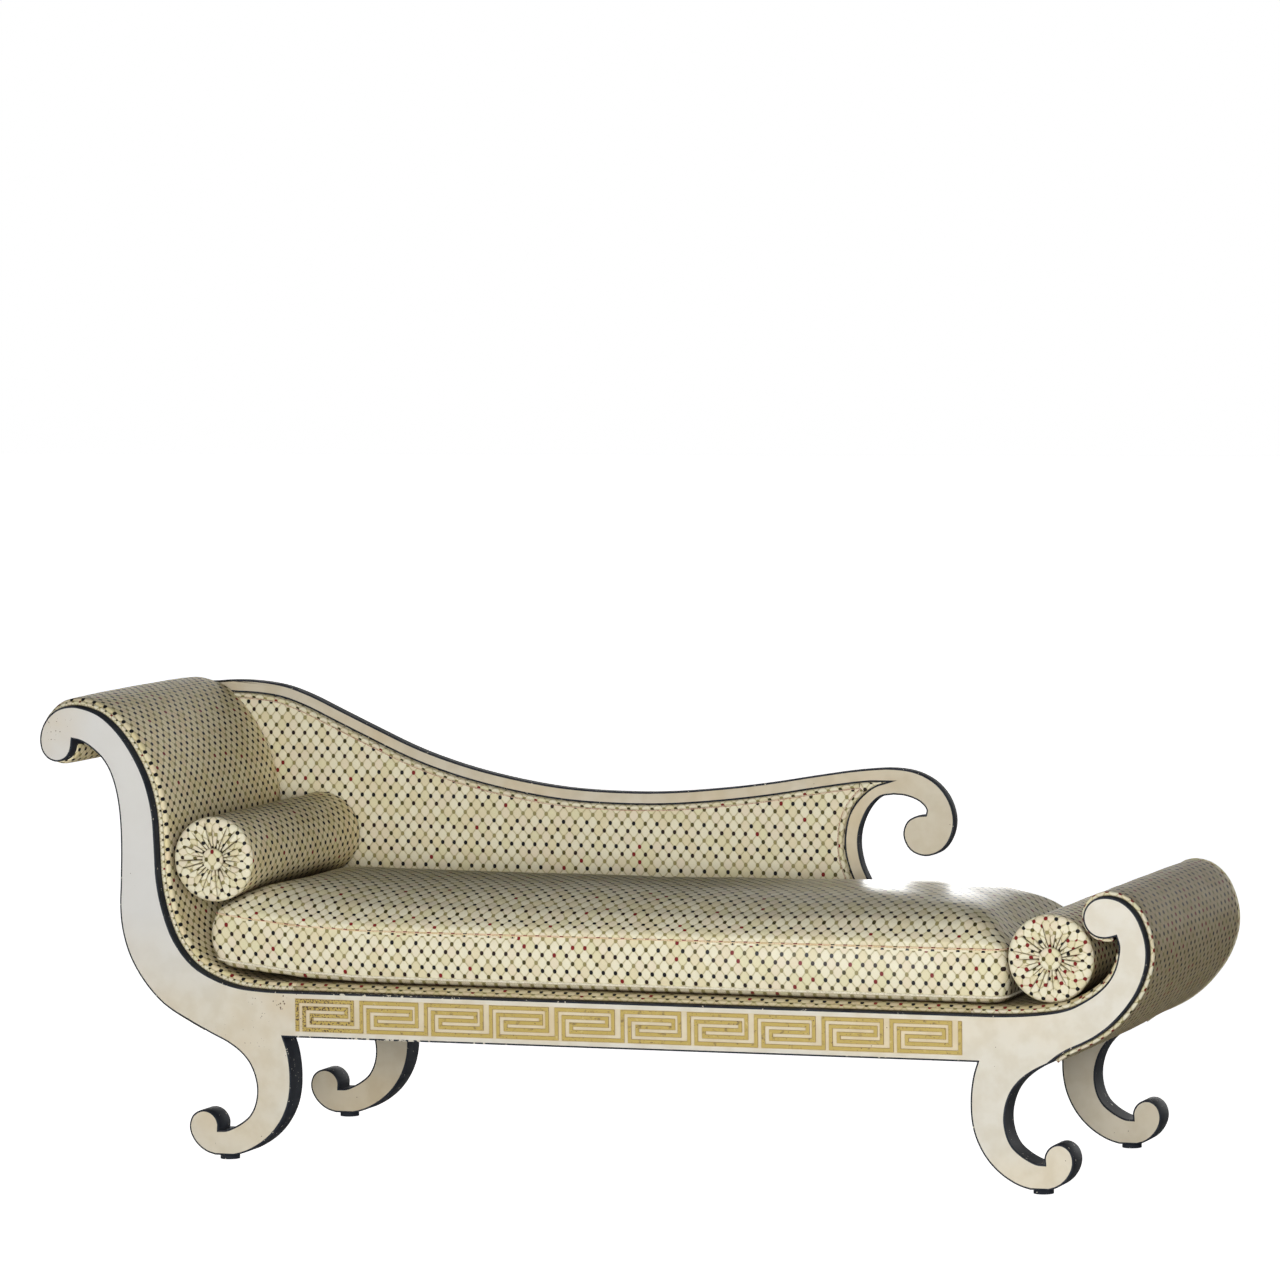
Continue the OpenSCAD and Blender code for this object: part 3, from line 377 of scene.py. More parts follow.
def woven(name, dot_red, tint=(1, 1, 1), dot_wide=0.43, sheen=0.1):
    """The lattice cloth, with the given share of dark red dots."""
    material, tree, shader = new_finish(name, Roughness=0.7, IOR=1.3, Coat_Roughness=0.3)
    place = add(tree, "SeparateXYZ", {0: add(tree, "TexCoord").outputs["Object"]}).outputs[0]
    polished = ramp(tree, place, (0.15, (0.05, 0.05, 0.05)), (0.42, (sheen, sheen, sheen)),
                    (0.62, (sheen, sheen, sheen)), (0.72, (0.02, 0.02, 0.02)))
    tree.links.new(polished, shader.inputs["Coat Weight"])
    cloth = add(tree, "SeparateXYZ", {0: add(tree, "UVMap", uv_map="UVMap").outputs[0]})
    across = math_node(tree, "DIVIDE", cloth.outputs[0], lattice_u)
    along = math_node(tree, "DIVIDE", cloth.outputs[1], lattice_v)
    rising = math_node(tree, "ADD", across, along)
    falling = math_node(tree, "SUBTRACT", across, along)
    rising_no = math_node(tree, "ROUND", rising)
    falling_no = math_node(tree, "ROUND", falling)
    rising_off = math_node(tree, "SUBTRACT", rising, rising_no)
    falling_off = math_node(tree, "SUBTRACT", falling, falling_no)
    line = math_node(tree, "MINIMUM", math_node(tree, "ABSOLUTE", rising_off),
                     math_node(tree, "ABSOLUTE", falling_off))
    cell_no = add(tree, "CombineXYZ", {0: math_node(tree, "FLOOR", rising),
                                       1: math_node(tree, "FLOOR", falling)})
    cell_random = add(tree, "TexWhiteNoise", {0: cell_no.outputs[0]}, noise_dimensions="2D").outputs["Value"]
    cell = ramp(tree, cell_random, (0.0, cream_light), (0.42, cream_light), (0.62, cream_pink),
                (0.8, cream_deep), (1.0, cream_green))
    slub = ramp(tree, grain(tree, add(tree, "UVMap", uv_map="UVMap").outputs[0], 900.0, 2.0),
                (0.3, (0.86, 0.85, 0.82)), (0.7, (1.0, 1.0, 1.0)))
    cell = mixed(tree, 1.0, cell, slub, "MULTIPLY")
    # Painted shade: each cell darkens toward its lines, as a puffed cell would be shaded there.
    shade = ramp(tree, line, (0.02, (0.84, 0.81, 0.70)), (0.16, (1, 1, 1)))
    cell = mixed(tree, 1.0, cell, shade, "MULTIPLY")
    # Painted light and shade: the tint brightens or darkens this whole copy of the cloth.
    cell = mixed(tree, 1.0, cell, tint, "MULTIPLY")
    line_mask = ramp(tree, line, (0.012, (1, 1, 1)), (0.036, (0, 0, 0)))
    tone = mixed(tree, line_mask, cell, line_olive)
    dot_u = math_node(tree, "MULTIPLY", math_node(tree, "ADD", rising_off, falling_off), lattice_u / 2)
    dot_v = math_node(tree, "MULTIPLY", math_node(tree, "SUBTRACT", rising_off, falling_off),
                      lattice_v * dot_wide)
    dot_way = add(tree, "CombineXYZ", {0: dot_u, 1: dot_v})
    dot_far = add(tree, "VectorMath", {0: dot_way.outputs[0]}, operation="LENGTH").outputs["Value"]
    dot_mask = ramp(tree, math_node(tree, "MULTIPLY", dot_far, 100.0), (0.335, (1, 1, 1)), (0.385, (0, 0, 0)))
    dot_row = math_node(tree, "SUBTRACT", rising_no, falling_no)
    row_kind = math_node(tree, "FLOORED_MODULO", dot_row, 6.0)
    row_share = math_node(tree, "DIVIDE", math_node(tree, "ADD", row_kind, 0.5), 6.0)
    dot_no = add(tree, "CombineXYZ", {0: rising_no, 1: falling_no})
    dot_random = add(tree, "TexWhiteNoise", {0: dot_no.outputs[0]}, noise_dimensions="2D").outputs["Value"]
    column_kind = math_node(tree, "FLOORED_MODULO", math_node(tree, "ADD", rising_no, falling_no), 4.0)
    one_dot, other_dot = (row_ramp(tree, row_share, colours) for colours in (
        (brown_black, navy, dark_olive, brown_black, olive, pale_olive),
        (olive, navy, pale_olive, brown_black, navy, pale_olive)))
    dot = mixed(tree, math_node(tree, "LESS_THAN", column_kind, 1.5), one_dot, other_dot)
    dot = mixed(tree, math_node(tree, "GREATER_THAN", dot_random, 1 - dot_red), dot, (0.20, 0.012, 0.012))
    tone = mixed(tree, dot_mask, tone, dot)
    # Painted shade: the cloth darkens where ambient occlusion finds crevices, pockets and contact with
    # neighbouring pieces.
    crevice = add(tree, "AmbientOcclusion", {"Distance": 0.05}, samples=6).outputs["AO"]
    ao_shade = ramp(tree, crevice, (0.10, (0.18, 0.14, 0.09)), (0.46, (1, 1, 1)))
    tone = mixed(tree, 1.0, tone, ao_shade, "MULTIPLY")
    tree.links.new(tone, shader.inputs["Base Color"])
    puff = math_node(tree, "POWER", math_node(tree, "MULTIPLY", line, 2.0), 0.5)
    thread = grain(tree, add(tree, "UVMap", uv_map="UVMap").outputs[0], 1400.0, 1.0)
    raised = math_node(tree, "ADD", puff, math_node(tree, "MULTIPLY", thread, 0.25))
    relief = add(tree, "Bump", {"Height": raised, "Strength": 0.55, "Distance": 0.0009})
    tree.links.new(relief.outputs[0], shader.inputs["Normal"])
    return material


lattice_fabric = woven("lattice_fabric", 0.03)
cushion_fabric = woven("cushion_fabric", 0.05, sheen=1.0)
# Painted light: a brighter tinted copy for the rolled head covers and the head bolster's body.
rolled_fabric = woven("rolled_fabric", 0.03, (1.10, 1.05, 0.94), 0.31)
# Painted shade: a darker tinted copy for the outside covers of the scrolls.
shaded_outside_fabric = woven("shaded_outside_fabric", 0.10, (0.72, 0.64, 0.51), 0.31)
# Painted shade: a darker tinted copy for the deck, its front welt and the foot cover.
shaded_deck_fabric = woven("shaded_deck_fabric", 0.08, (0.80, 0.74, 0.62), sheen=0.02)
# Painted light: a brighter tinted copy, with more red dots, for the foot bolster's body.
rolled_fabric_red = woven("rolled_fabric_red", 0.35, (1.08, 1.04, 0.94), 0.31, 0.8)
lattice_fabric_red = woven("lattice_fabric_red", 0.45)
welt_fabric = woven("welt_fabric", 0.12)
welt_fabric_red = woven("welt_fabric_red", 0.7)
seam_fabric = woven("seam_fabric", 0.8, (1.0, 0.84, 0.76))
seam_thread, tree, shader = new_finish("seam_thread", Roughness=0.9)
twist = grain(tree, add(tree, "TexCoord").outputs["Object"], 420.0, 1.0)
tone = ramp(tree, twist, (0.40, (0.40, 0.22, 0.15)), (0.62, (0.68, 0.52, 0.40)))
tree.links.new(tone, shader.inputs["Base Color"])


# The covers of the deck and of the two scroll ends: fabric over a thin pad on the boards' edges,
# rolled over at the front and the back. They run on from one another along the frame's edge.
def face_loop(node, depth):
    """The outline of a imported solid's flat face at one depth, as points in X and Z, in order."""
    skin = bmesh.new()
    skin.from_mesh(frame["nodes"][node].data)
    bmesh.ops.remove_doubles(skin, verts=skin.verts, dist=0.00002)
    flat = {f for f in skin.faces if all(abs(v.co.y - depth) < 0.0001 for v in f.verts)}
    rim = [e for e in skin.edges if sum(f in flat for f in e.link_faces) == 1]
    beside = {}
    for edge in rim:
        for one, other in (edge.verts, reversed(edge.verts)):
            beside.setdefault(one, []).append(other)
    start = rim[0].verts[0]
    loop = [start, beside[start][0]]
    while loop[-1] != start:
        loop.append([v for v in beside[loop[-1]] if v != loop[-2]][0])
    points = [Vector((v.co.x, v.co.z)) for v in loop[:-1]]
    skin.free()
    return points


pad_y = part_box("head_pad")[0].y
pad_end_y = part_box("foot_pad")[1].y
back_face_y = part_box("back_pad")[0].y
rail_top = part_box("front_seat_rail")[1].z
pad_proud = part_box("seat_deck")[1].z - rail_top


def turns_sharply(before, here, after):
    return abs((here - before).normalized().cross((after - here).normalized())) > 0.8


def nearest_on(one, other, here):
    """The point of a span that lies nearest to a place."""
    span = other - one
    share = (here - one).dot(span) / max(span.length_squared, 1e-12)
    return one + span * max(0, min(1, share))


def edge_of(node, board):
    """The board's edge under a cover, end to end, with the way outward and the cover's height."""
    loop = face_loop(node, pad_y)
    count = len(loop)
    ends = [k for k in range(count)
            if turns_sharply(loop[k - 1], loop[k], loop[(k + 1) % count])
            and turns_sharply(loop[k], loop[(k + 1) % count], loop[(k + 2) % count])
            and (loop[(k + 1) % count] - loop[k]).length < pad_proud + 0.001]
    first, second = ends[0], ends[-1]
    one = loop[first + 1:second + 1]
    other = (loop[second + 1:] + loop[:first + 1])[::-1]
    outline = face_loop(board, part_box(board)[0].y)
    one_off, other_off = (min((p - run[len(run) // 2]).length for p in outline) for run in (one, other))
    if one_off > other_off:
        one, other = other, one
    ways = []
    for k in range(len(one)):
        heading = (one[min(k + 1, len(one) - 1)] - one[max(k - 1, 0)]).normalized()
        ways.append(Vector((heading.y, -heading.x)))
    middle = len(one) // 2
    target = min(other, key=lambda p: (p - one[middle]).length)
    if ways[middle].dot(target - one[middle]) < 0:
        ways = [-w for w in ways]
    spans = list(zip(other, other[1:]))
    heights = [min((nearest_on(a, b, p) - p).length for a, b in spans) for p in one]
    return one, ways, heights


crown = 0.0035
roll = 0.011


def swell(depth, height):
    """How far a cover stands over its boards, at one depth."""
    front = 1 - math.exp(-max(depth - pad_y, 0) / 0.07)
    rear = 1 - math.exp(-max(pad_end_y - depth, 0) / 0.07)
    return height * (1 + crown / pad_proud * front * rear)


cloth_along = 1.133


def cover(name, edge, ways, heights, y_end, node_names, finish=None):
    """A closed pad along an edge, rolled over in front, and behind where it ends on the board."""
    rolled_end = abs(y_end - pad_end_y) < 0.001
    turns = [math.pi / 2 * k / 5 for k in range(6)]
    rows = [(pad_y + roll * (1 - math.cos(a)), math.sin(a)) for a in turns]
    inner = pad_y + roll
    outer = y_end - (roll if rolled_end else 0)
    steps = max(2, round((outer - inner) / 0.03))
    rows += [(inner + (outer - inner) * k / steps, 1) for k in range(1, steps + 1)]
    if rolled_end:
        rows += [(y_end - roll * (1 - math.sin(a)), math.cos(a)) for a in turns[1:]]
    else:
        rows.append((y_end, 0))
    skin = bmesh.new()
    cloth = skin.loops.layers.uv.new("UVMap")
    length = [0.0]
    for k in range(1, len(edge)):
        one = edge[k] + ways[k] * heights[k]
        length.append(length[-1] + (one - edge[k - 1] - ways[k - 1] * heights[k - 1]).length)
    depth = [0.0]
    for k in range(1, len(rows)):
        rise = (rows[k][1] - rows[k - 1][1]) * pad_proud
        depth.append(depth[-1] + math.hypot(rows[k][0] - rows[k - 1][0], rise))
    grid = []
    for y, share in rows:
        line = []
        for point, way, height in zip(edge, ways, heights):
            uneven = 0.0007 * noise.noise(Vector((point.x * 9, y * 9, point.y * 9)))
            high = point + way * (share * (swell(y, height) + uneven))
            line.append(skin.verts.new((high.x, y, high.y)))
        grid.append(line)
    for r in range(len(rows) - 1):
        for c in range(len(edge) - 1):
            face = skin.faces.new((grid[r][c], grid[r][c + 1], grid[r + 1][c + 1], grid[r + 1][c]))
            for loop, (row, column) in zip(face.loops, ((r, c), (r, c + 1), (r + 1, c + 1), (r + 1, c))):
                loop[cloth].uv = (length[column], depth[row] * cloth_along)
    for c in range(len(edge) - 1):
        skin.faces.new((grid[-1][c], grid[-1][c + 1], grid[0][c + 1], grid[0][c]))
    for c in (0, len(edge) - 1):
        skin.faces.new([grid[r][c] for r in range(len(rows))])
    bmesh.ops.recalc_face_normals(skin, faces=skin.faces)
    mesh = bpy.data.meshes.new(name)
    skin.to_mesh(mesh)
    skin.free()
    piece = bpy.data.objects.new(name, mesh)
    bpy.context.collection.objects.link(piece)
    mesh.materials.append(finish or lattice_fabric)
    only(piece)
    bpy.ops.object.shade_smooth_by_angle(angle=math.radians(50))
    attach(piece, "frame")
    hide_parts(*node_names)
    return piece


welt_r = 0.0042


def welt(name, path, sides, ups, radius=welt_r, body="frame", closed=False,
         finish=None, shown=-0.8, stretch=1.0):
    """A fabric-covered cord along a path, as a tube with a row of dots at the angle shown."""
    spokes = 12
    skin = bmesh.new()
    cloth = skin.loops.layers.uv.new("UVMap")
    length = [0.0]
    for k in range(1, len(path) + (1 if closed else 0)):
        length.append(length[-1] + (path[k % len(path)] - path[k - 1]).length)
    rings = []
    for point, side, up in zip(path, sides, ups):
        turn = [math.tau * k / spokes for k in range(spokes)]
        rings.append([skin.verts.new(point + radius * (math.cos(a) * side + math.sin(a) * up)) for a in turn])
    for r in range(len(path) - (0 if closed else 1)):
        here, after = rings[r], rings[(r + 1) % len(rings)]
        for s in range(spokes):
            face = skin.faces.new((here[s], here[(s + 1) % spokes], after[(s + 1) % spokes], after[s]))
            for loop, (row, spoke) in zip(face.loops, ((r, s), (r, s + 1), (r + 1, s + 1), (r + 1, s))):
                girth = radius * (math.tau * spoke / spokes - shown)
                loop[cloth].uv = (length[row] * stretch, girth)
    if not closed:
        skin.faces.new(rings[0])
        skin.faces.new(rings[-1])
    bmesh.ops.recalc_face_normals(skin, faces=skin.faces)
    mesh = bpy.data.meshes.new(name)
    skin.to_mesh(mesh)
    skin.free()
    piece = bpy.data.objects.new(name, mesh)
    bpy.context.collection.objects.link(piece)
    mesh.materials.append(finish or welt_fabric)
    only(piece)
    bpy.ops.object.shade_smooth()
    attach(piece, body)
    return piece


def edge_welts(name, edge, ways, rear=True, finish=None, stretch=1.0):
    """The welts where a cover ends on the boards, in front and behind."""
    for label, depth in (("_front", pad_y - 0.003), ("_rear", pad_end_y + 0.003)):
        if label == "_front" or rear:
            off = welt_r - 0.0006
            path = [Vector((p.x + w.x * off, depth, p.y + w.y * off)) for p, w in zip(edge, ways)]
            sides = [Vector((w.x, 0, w.y)) for w in ways]
            shown = -0.8 if label == "_front" else 0.8
            welt(name + label, path, sides, [Vector((0, 1, 0))] * len(path),
                 finish=finish, shown=shown, stretch=stretch)


head_edge, head_ways, head_high = edge_of("head_pad", "front_head_scroll")
foot_edge, foot_ways, foot_high = edge_of("foot_pad", "front_foot_scroll")
if head_high[0] < head_high[-1]:
    head_edge, head_ways, head_high = head_edge[::-1], head_ways[::-1], head_high[::-1]
if foot_edge[0].y > foot_edge[-1].y:
    foot_edge, foot_ways, foot_high = foot_edge[::-1], foot_ways[::-1], foot_high[::-1]
tip_top = max(face_loop("head_pad", pad_end_y), key=lambda p: p.y)
eye_start = min(range(len(head_edge)), key=lambda k: (head_edge[k] - tip_top).length)
cover("head_cover", head_edge[:eye_start + 1], head_ways[:eye_start + 1], head_high[:eye_start + 1],
      back_face_y, ["head_pad"], rolled_fabric)
cover("head_eye_cover", head_edge[eye_start:], head_ways[eye_start:], head_high[eye_start:],
      pad_end_y, ["head_pad"], rolled_fabric)
# The foot cover takes the darker deck copy, painted shade.
cover("foot_cover", foot_edge, foot_ways, foot_high, pad_end_y, ["foot_pad"], shaded_deck_fabric)
stile_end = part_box("back_stile")[1].x
deck_up = Vector((0, 1))


def deck_line(x_from, x_to):
    steps = math.ceil(abs(x_to - x_from) / 0.04)
    return [Vector((x_from + (x_to - x_from) * k / steps, rail_top)) for k in range(steps + 1)]


for name, x_from, x_to, y_end in (
    ("deck_cover_head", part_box("front_seat_rail")[0].x, stile_end, back_face_y),
    ("deck_cover_foot", stile_end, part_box("front_seat_rail")[1].x, pad_end_y),
):
    line = deck_line(x_from, x_to)
    cover(name, line, [deck_up] * len(line), [pad_proud] * len(line), y_end, ["seat_deck"], shaded_deck_fabric)
front_line = deck_line(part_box("front_seat_rail")[0].x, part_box("front_seat_rail")[1].x)
edge_welts("deck_welt", front_line, [deck_up] * len(front_line), rear=False, finish=shaded_deck_fabric)
edge_welts("head_welt", head_edge[:eye_start + 7], head_ways[:eye_start + 7], rear=False, stretch=1.75)
edge_welts("foot_welt", foot_edge, foot_ways, finish=welt_fabric_red)
for label, node, board in (("head_outside", "head_outside_pad", "front_head_scroll"),
                           ("foot_outside", "foot_outside_pad", "front_foot_scroll")):
    edge, ways, heights = edge_of(node, board)
    cover(label + "_cover", edge, ways, heights, pad_end_y, [node], shaded_outside_fabric)
    edge_welts(label + "_welt", edge, ways, finish=welt_fabric_red if label == "foot_outside" else None)

# The back: a thin stuffed panel inside and a plainer one outside, on a board between them. Its
# inside edge has a welt under the crest and down the stile.
back_voxel = 0.007


def panel(name, node, proud_way, puff, edge_run):
    """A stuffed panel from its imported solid: remeshed, then swelled away from its edges."""
    outline = face_loop(node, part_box(node)[0].y)
    piece = cad_copy(node, name)
    piece.data.remesh_voxel_size = back_voxel
    only(piece)
    bpy.ops.object.voxel_remesh()
    face_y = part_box(node)[0 if proud_way < 0 else 1].y
    segments = list(zip(outline, outline[1:] + outline[:1]))
    for vertex in piece.data.vertices:
        if abs(vertex.co.y - face_y) > back_voxel:
            continue
        here = Vector((vertex.co.x, vertex.co.z))
        nearest = 1.0
        for one, other in segments:
            nearest = min(nearest, (nearest_on(one, other, here) - here).length)
        ripple = 0.0006 * noise.noise(Vector((here.x * 14, 0, here.y * 14)))
        vertex.co.y += proud_way * (puff * (1 - math.exp(-nearest / edge_run)) + ripple)
    cloth = piece.data.uv_layers.new(name="UVMap")
    for polygon in piece.data.polygons:
        for index in polygon.loop_indices:
            spot = piece.data.vertices[piece.data.loops[index].vertex_index].co
            side = spot.y if abs(polygon.normal.y) < 0.4 else 0
            cloth.data[index].uv = (spot.x + side, spot.z + side)
    piece.data.materials.append(lattice_fabric)
    only(piece)
    bpy.ops.object.shade_smooth()
    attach(piece, "frame")
    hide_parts(node)
    return outline


back_outline = panel("back_inside_panel", "back_pad", -1, 0.006, 0.02)
panel("back_outside_panel", "back_outside_pad", 1, 0.004, 0.03)
top = max(range(len(back_outline)), key=lambda k: back_outline[k].y)
ring = back_outline[top:] + back_outline[:top]
if ring[1].x < ring[-1].x:
    ring = [ring[0]] + ring[:0:-1]
rim = [p for k, p in enumerate(ring) if k == 0 or all(q.y > rail_top + 0.002 for q in ring[:k + 1])]
turn = max(range(1, len(rim) - 1),
           key=lambda k: (rim[k] - rim[k - 1]).normalized().dot((rim[k] - rim[k + 1]).normalized()))
crest_run, stile_run = rim[:turn + 1], rim[turn:]
for label, run, other_run, low_side in (
    ("crest", crest_run, stile_run, True),
    ("stile", stile_run, crest_run, False),
):
    spans = list(zip(other_run, other_run[1:]))
    run = [p for p in run if min((nearest_on(a, b, p) - p).length for a, b in spans) > 0.014]
    ways = []
    for k in range(len(run)):
        heading = (run[min(k + 1, len(run) - 1)] - run[max(k - 1, 0)]).normalized()
        way = Vector((heading.y, -heading.x))
        ways.append(-way if (way.y > 0 if low_side else way.x > 0) else way)
    sides = [Vector((w.x, 0, w.y)) for w in ways]
    for piece, off, depth, radius, finish in (
        ("_welt", welt_r, 0.001, welt_r, None),
        ("_stitching", 2 * welt_r + 0.0012, 0.0022, 0.0009, seam_thread),
    ):
        path = [Vector((p.x + w.x * off, back_face_y - depth, p.y + w.y * off)) for p, w in zip(run, ways)]
        welt("back_" + label + piece, path, sides, [Vector((0, 1, 0))] * len(path), radius,
             finish=finish, shown=-1.4)

pale_piping, tree, shader = new_finish("pale_piping", Roughness=0.85)
twist = grain(tree, add(tree, "TexCoord").outputs["Object"], 260.0, 2.0)
tone = ramp(tree, twist, (0.35, (0.66, 0.60, 0.44)), (0.62, (0.84, 0.79, 0.64)))
tree.links.new(tone, shader.inputs["Base Color"])

# The loose seat cushion: a boxed case with a small piped seam round its top and bottom, stuffed
# so that its top crowns and its front boxing swells between the seams.
cushion = cad_copy("seat_cushion", "box_cushion")
cushion.data.remesh_voxel_size = 0.009
only(cushion)
bpy.ops.object.voxel_remesh()
cushion_low, cushion_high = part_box("seat_cushion")
cad_cushion = bmesh.new()
cad_cushion.from_mesh(frame["nodes"]["seat_cushion"].data)
bmesh.ops.remove_doubles(cad_cushion, verts=cad_cushion.verts, dist=0.00002)
seam_high = 0.098
seam_low = 0.014
boxing_top = cushion_low.z + seam_high
seam_rings = {"low": [], "top": []}


def lift_at(x):
    """How far the head end of the cushion rides up."""
    length = cushion_high.x - cushion_low.x
    return 0.027 * max(0, 1 - (x - cushion_low.x) / (0.24 * length)) ** 2.4


for vertex in cad_cushion.verts:
    height = vertex.co.z - lift_at(vertex.co.x) - cushion_low.z
    if abs(height - seam_high) < 0.0008:
        seam_rings["top"].append(vertex.co.copy())
    elif abs(height - seam_low) < 0.0008:
        seam_rings["low"].append(vertex.co.copy())
cad_cushion.free()


def plumped(piece, pinned, pressure, cap, may_move):
    """Fills a remeshed case by cloth simulation, and caps how far each point has moved."""
    before = [v.co.copy() for v in piece.data.vertices]
    pins = piece.vertex_groups.new(name="seams")
    pins.add([v.index for v in piece.data.vertices if pinned(v.co)], 1.0, "REPLACE")
    stuffing = piece.modifiers.new("stuffing", "CLOTH")
    stuffing.settings.use_pressure = True
    stuffing.settings.uniform_pressure_force = pressure
    stuffing.settings.effector_weights.gravity = 0
    stuffing.settings.vertex_group_mass = "seams"
    stuffing.settings.tension_stiffness = 20
    stuffing.settings.compression_stiffness = 20
    stuffing.settings.bending_stiffness = 0.6
    stuffing.settings.quality = 5
    stuffing.point_cache.frame_start = 1
    stuffing.point_cache.frame_end = 20
    for step in range(1, 21):
        bpy.context.scene.frame_set(step)
    only(piece)
    bpy.ops.object.modifier_apply(modifier=stuffing.name)
    bpy.context.scene.frame_set(1)
    for vertex, start in zip(piece.data.vertices, before):
        moved = (vertex.co - start) * may_move(start)
        vertex.co = start + (moved if moved.length < cap else moved.normalized() * cap)


def near_seam(spot):
    height = spot.z - lift_at(spot.x) - cushion_low.z
    edge = min(spot.x - cushion_low.x, cushion_high.x - spot.x,
               spot.y - cushion_low.y, cushion_high.y - spot.y)
    return edge < 0.014 and min(abs(height - seam_high), abs(height - seam_low)) < 0.007 or height < 0.004


def cushion_gives(spot):
    """The top and the front swell; what lies on the deck or near a neighbour doesn't."""
    height = spot.z - lift_at(spot.x) - cushion_low.z
    front = max(0, 1 - (spot.y - cushion_low.y) / 0.05)
    top = max(0, min(1, (height - seam_high) / 0.02))
    beside = min(spot.x - cushion_low.x, cushion_high.x - spot.x, cushion_high.y - spot.y)
    return max(front, top) * max(0, min(1, beside / 0.05)) * max(0, min(1, (height - 0.01) / 0.02))


plumped(cushion, near_seam, 4.0, 0.012, cushion_gives)
for vertex in cushion.data.vertices:
    spot = vertex.co
    high = max(0, min(1, (spot.z - lift_at(spot.x) - boxing_top) / 0.03))
    soft = 0.0022 * noise.noise(Vector((spot.x * 5, spot.y * 7, 2.0))) + 0.0009 * noise.noise(spot * 22)
    near_foot = max(0, min(1, (spot.x - 0.30) / 0.25)) * max(0, min(1, (cushion_high.x - spot.x) / 0.06))
    from_front = (spot.y - cushion_low.y) / 0.035
    shoulder = from_front * math.exp(1 - from_front) if from_front > 0 else 0
    vertex.co.z += high * (soft + 0.006 * near_foot + 0.008 * shoulder)
    above = spot.z - lift_at(spot.x) - boxing_top
    if spot.y < cushion_low.y + 0.06 and above > 0.002:
        vertex.co.y -= 0.008 * (above / 0.014) * math.exp(1 - above / 0.014)
corner_r = 0.024
head_shift = 0.010


def squared(spot):
    """Moves the head end out a little, and draws its front corner out to a crisper one."""
    off = Vector((spot.x - cushion_low.x - corner_r, spot.y - cushion_low.y - corner_r))
    spot = spot - Vector((head_shift * max(0, 1 - (spot.x - cushion_low.x) / 0.3), 0, 0))
    if off.x >= 0 or off.y >= 0:
        return spot
    high = max(0, min(1, (spot.z - lift_at(spot.x) - cushion_low.z) / 0.03))
    diagonal = 2 * off.x * off.y / max(off.length_squared, 1e-9)
    out = off * (0.28 * diagonal * high)
    return Vector((spot.x + out.x, spot.y + out.y, spot.z))


for vertex in cushion.data.vertices:
    vertex.co = squared(vertex.co)
cloth = cushion.data.uv_layers.new(name="UVMap")
for polygon in cushion.data.polygons:
    middle = polygon.center
    height = middle.z - lift_at(middle.x)
    side_x, side_y, side_z = (abs(c) for c in polygon.normal)
    on_side = boxing_top - 0.003 > height and side_z < 0.8
    for index in polygon.loop_indices:
        spot = cushion.data.vertices[cushion.data.loops[index].vertex_index].co
        if not on_side:
            rise = max(0, min(0.03, spot.z - lift_at(spot.x) - boxing_top))
            over = 0.9 * (rise if spot.y < cushion_low.y + 0.2 else 0.03)
            cloth.data[index].uv = (spot.x, spot.y * 1.06 + over)
        elif side_y > side_x:
            cloth.data[index].uv = (spot.x, spot.z - lift_at(spot.x))
        else:
            cloth.data[index].uv = (spot.y, spot.z - lift_at(spot.x))
cushion.data.materials.append(cushion_fabric)
only(cushion)
bpy.ops.object.shade_smooth()
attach(cushion, "cushion")
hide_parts("seat_cushion")
for label, ring in seam_rings.items():
    middle = sum(ring, Vector()) / len(ring)
    half = (cushion_high - cushion_low) / 2
    ring.sort(key=lambda p: math.atan2((p.y - middle.y) / half.y, (p.x - middle.x) / half.x))
    dense = []
    for k, point in enumerate(ring):
        after = ring[(k + 1) % len(ring)]
        pieces = max(1, round((after - point).length / 0.008))
        dense += [squared(point.lerp(after, j / pieces)) for j in range(pieces)]
    outs = []
    for k in range(len(dense)):
        heading = (dense[(k + 1) % len(dense)] - dense[k - 1]).normalized()
        outs.append(Vector((heading.y, -heading.x, 0)).normalized())
    if outs[0].dot(dense[0] - middle) < 0:
        outs = [-o for o in outs]
    path = [p + o * 0.0006 for p, o in zip(dense, outs)]
    radius, finish = (0.0018, seam_fabric) if label == "top" else (0.0022, pale_piping)
    welt("cushion_seam_" + label, path, outs, [Vector((0, 0, 1))] * len(path), radius, "cushion", True,
         finish, 0.4)

# The loose bolsters: a stuffed round case whose ends are gathered in deep uneven pleats to a
# covered button. The two are made alike, with their own pleats.
pleat_count = 27
spokes_per_pleat = 10
button_face_r = 0.0205
button_out = 0.0060
cloth_round = 0.943
cloth_along_roll = 1.184


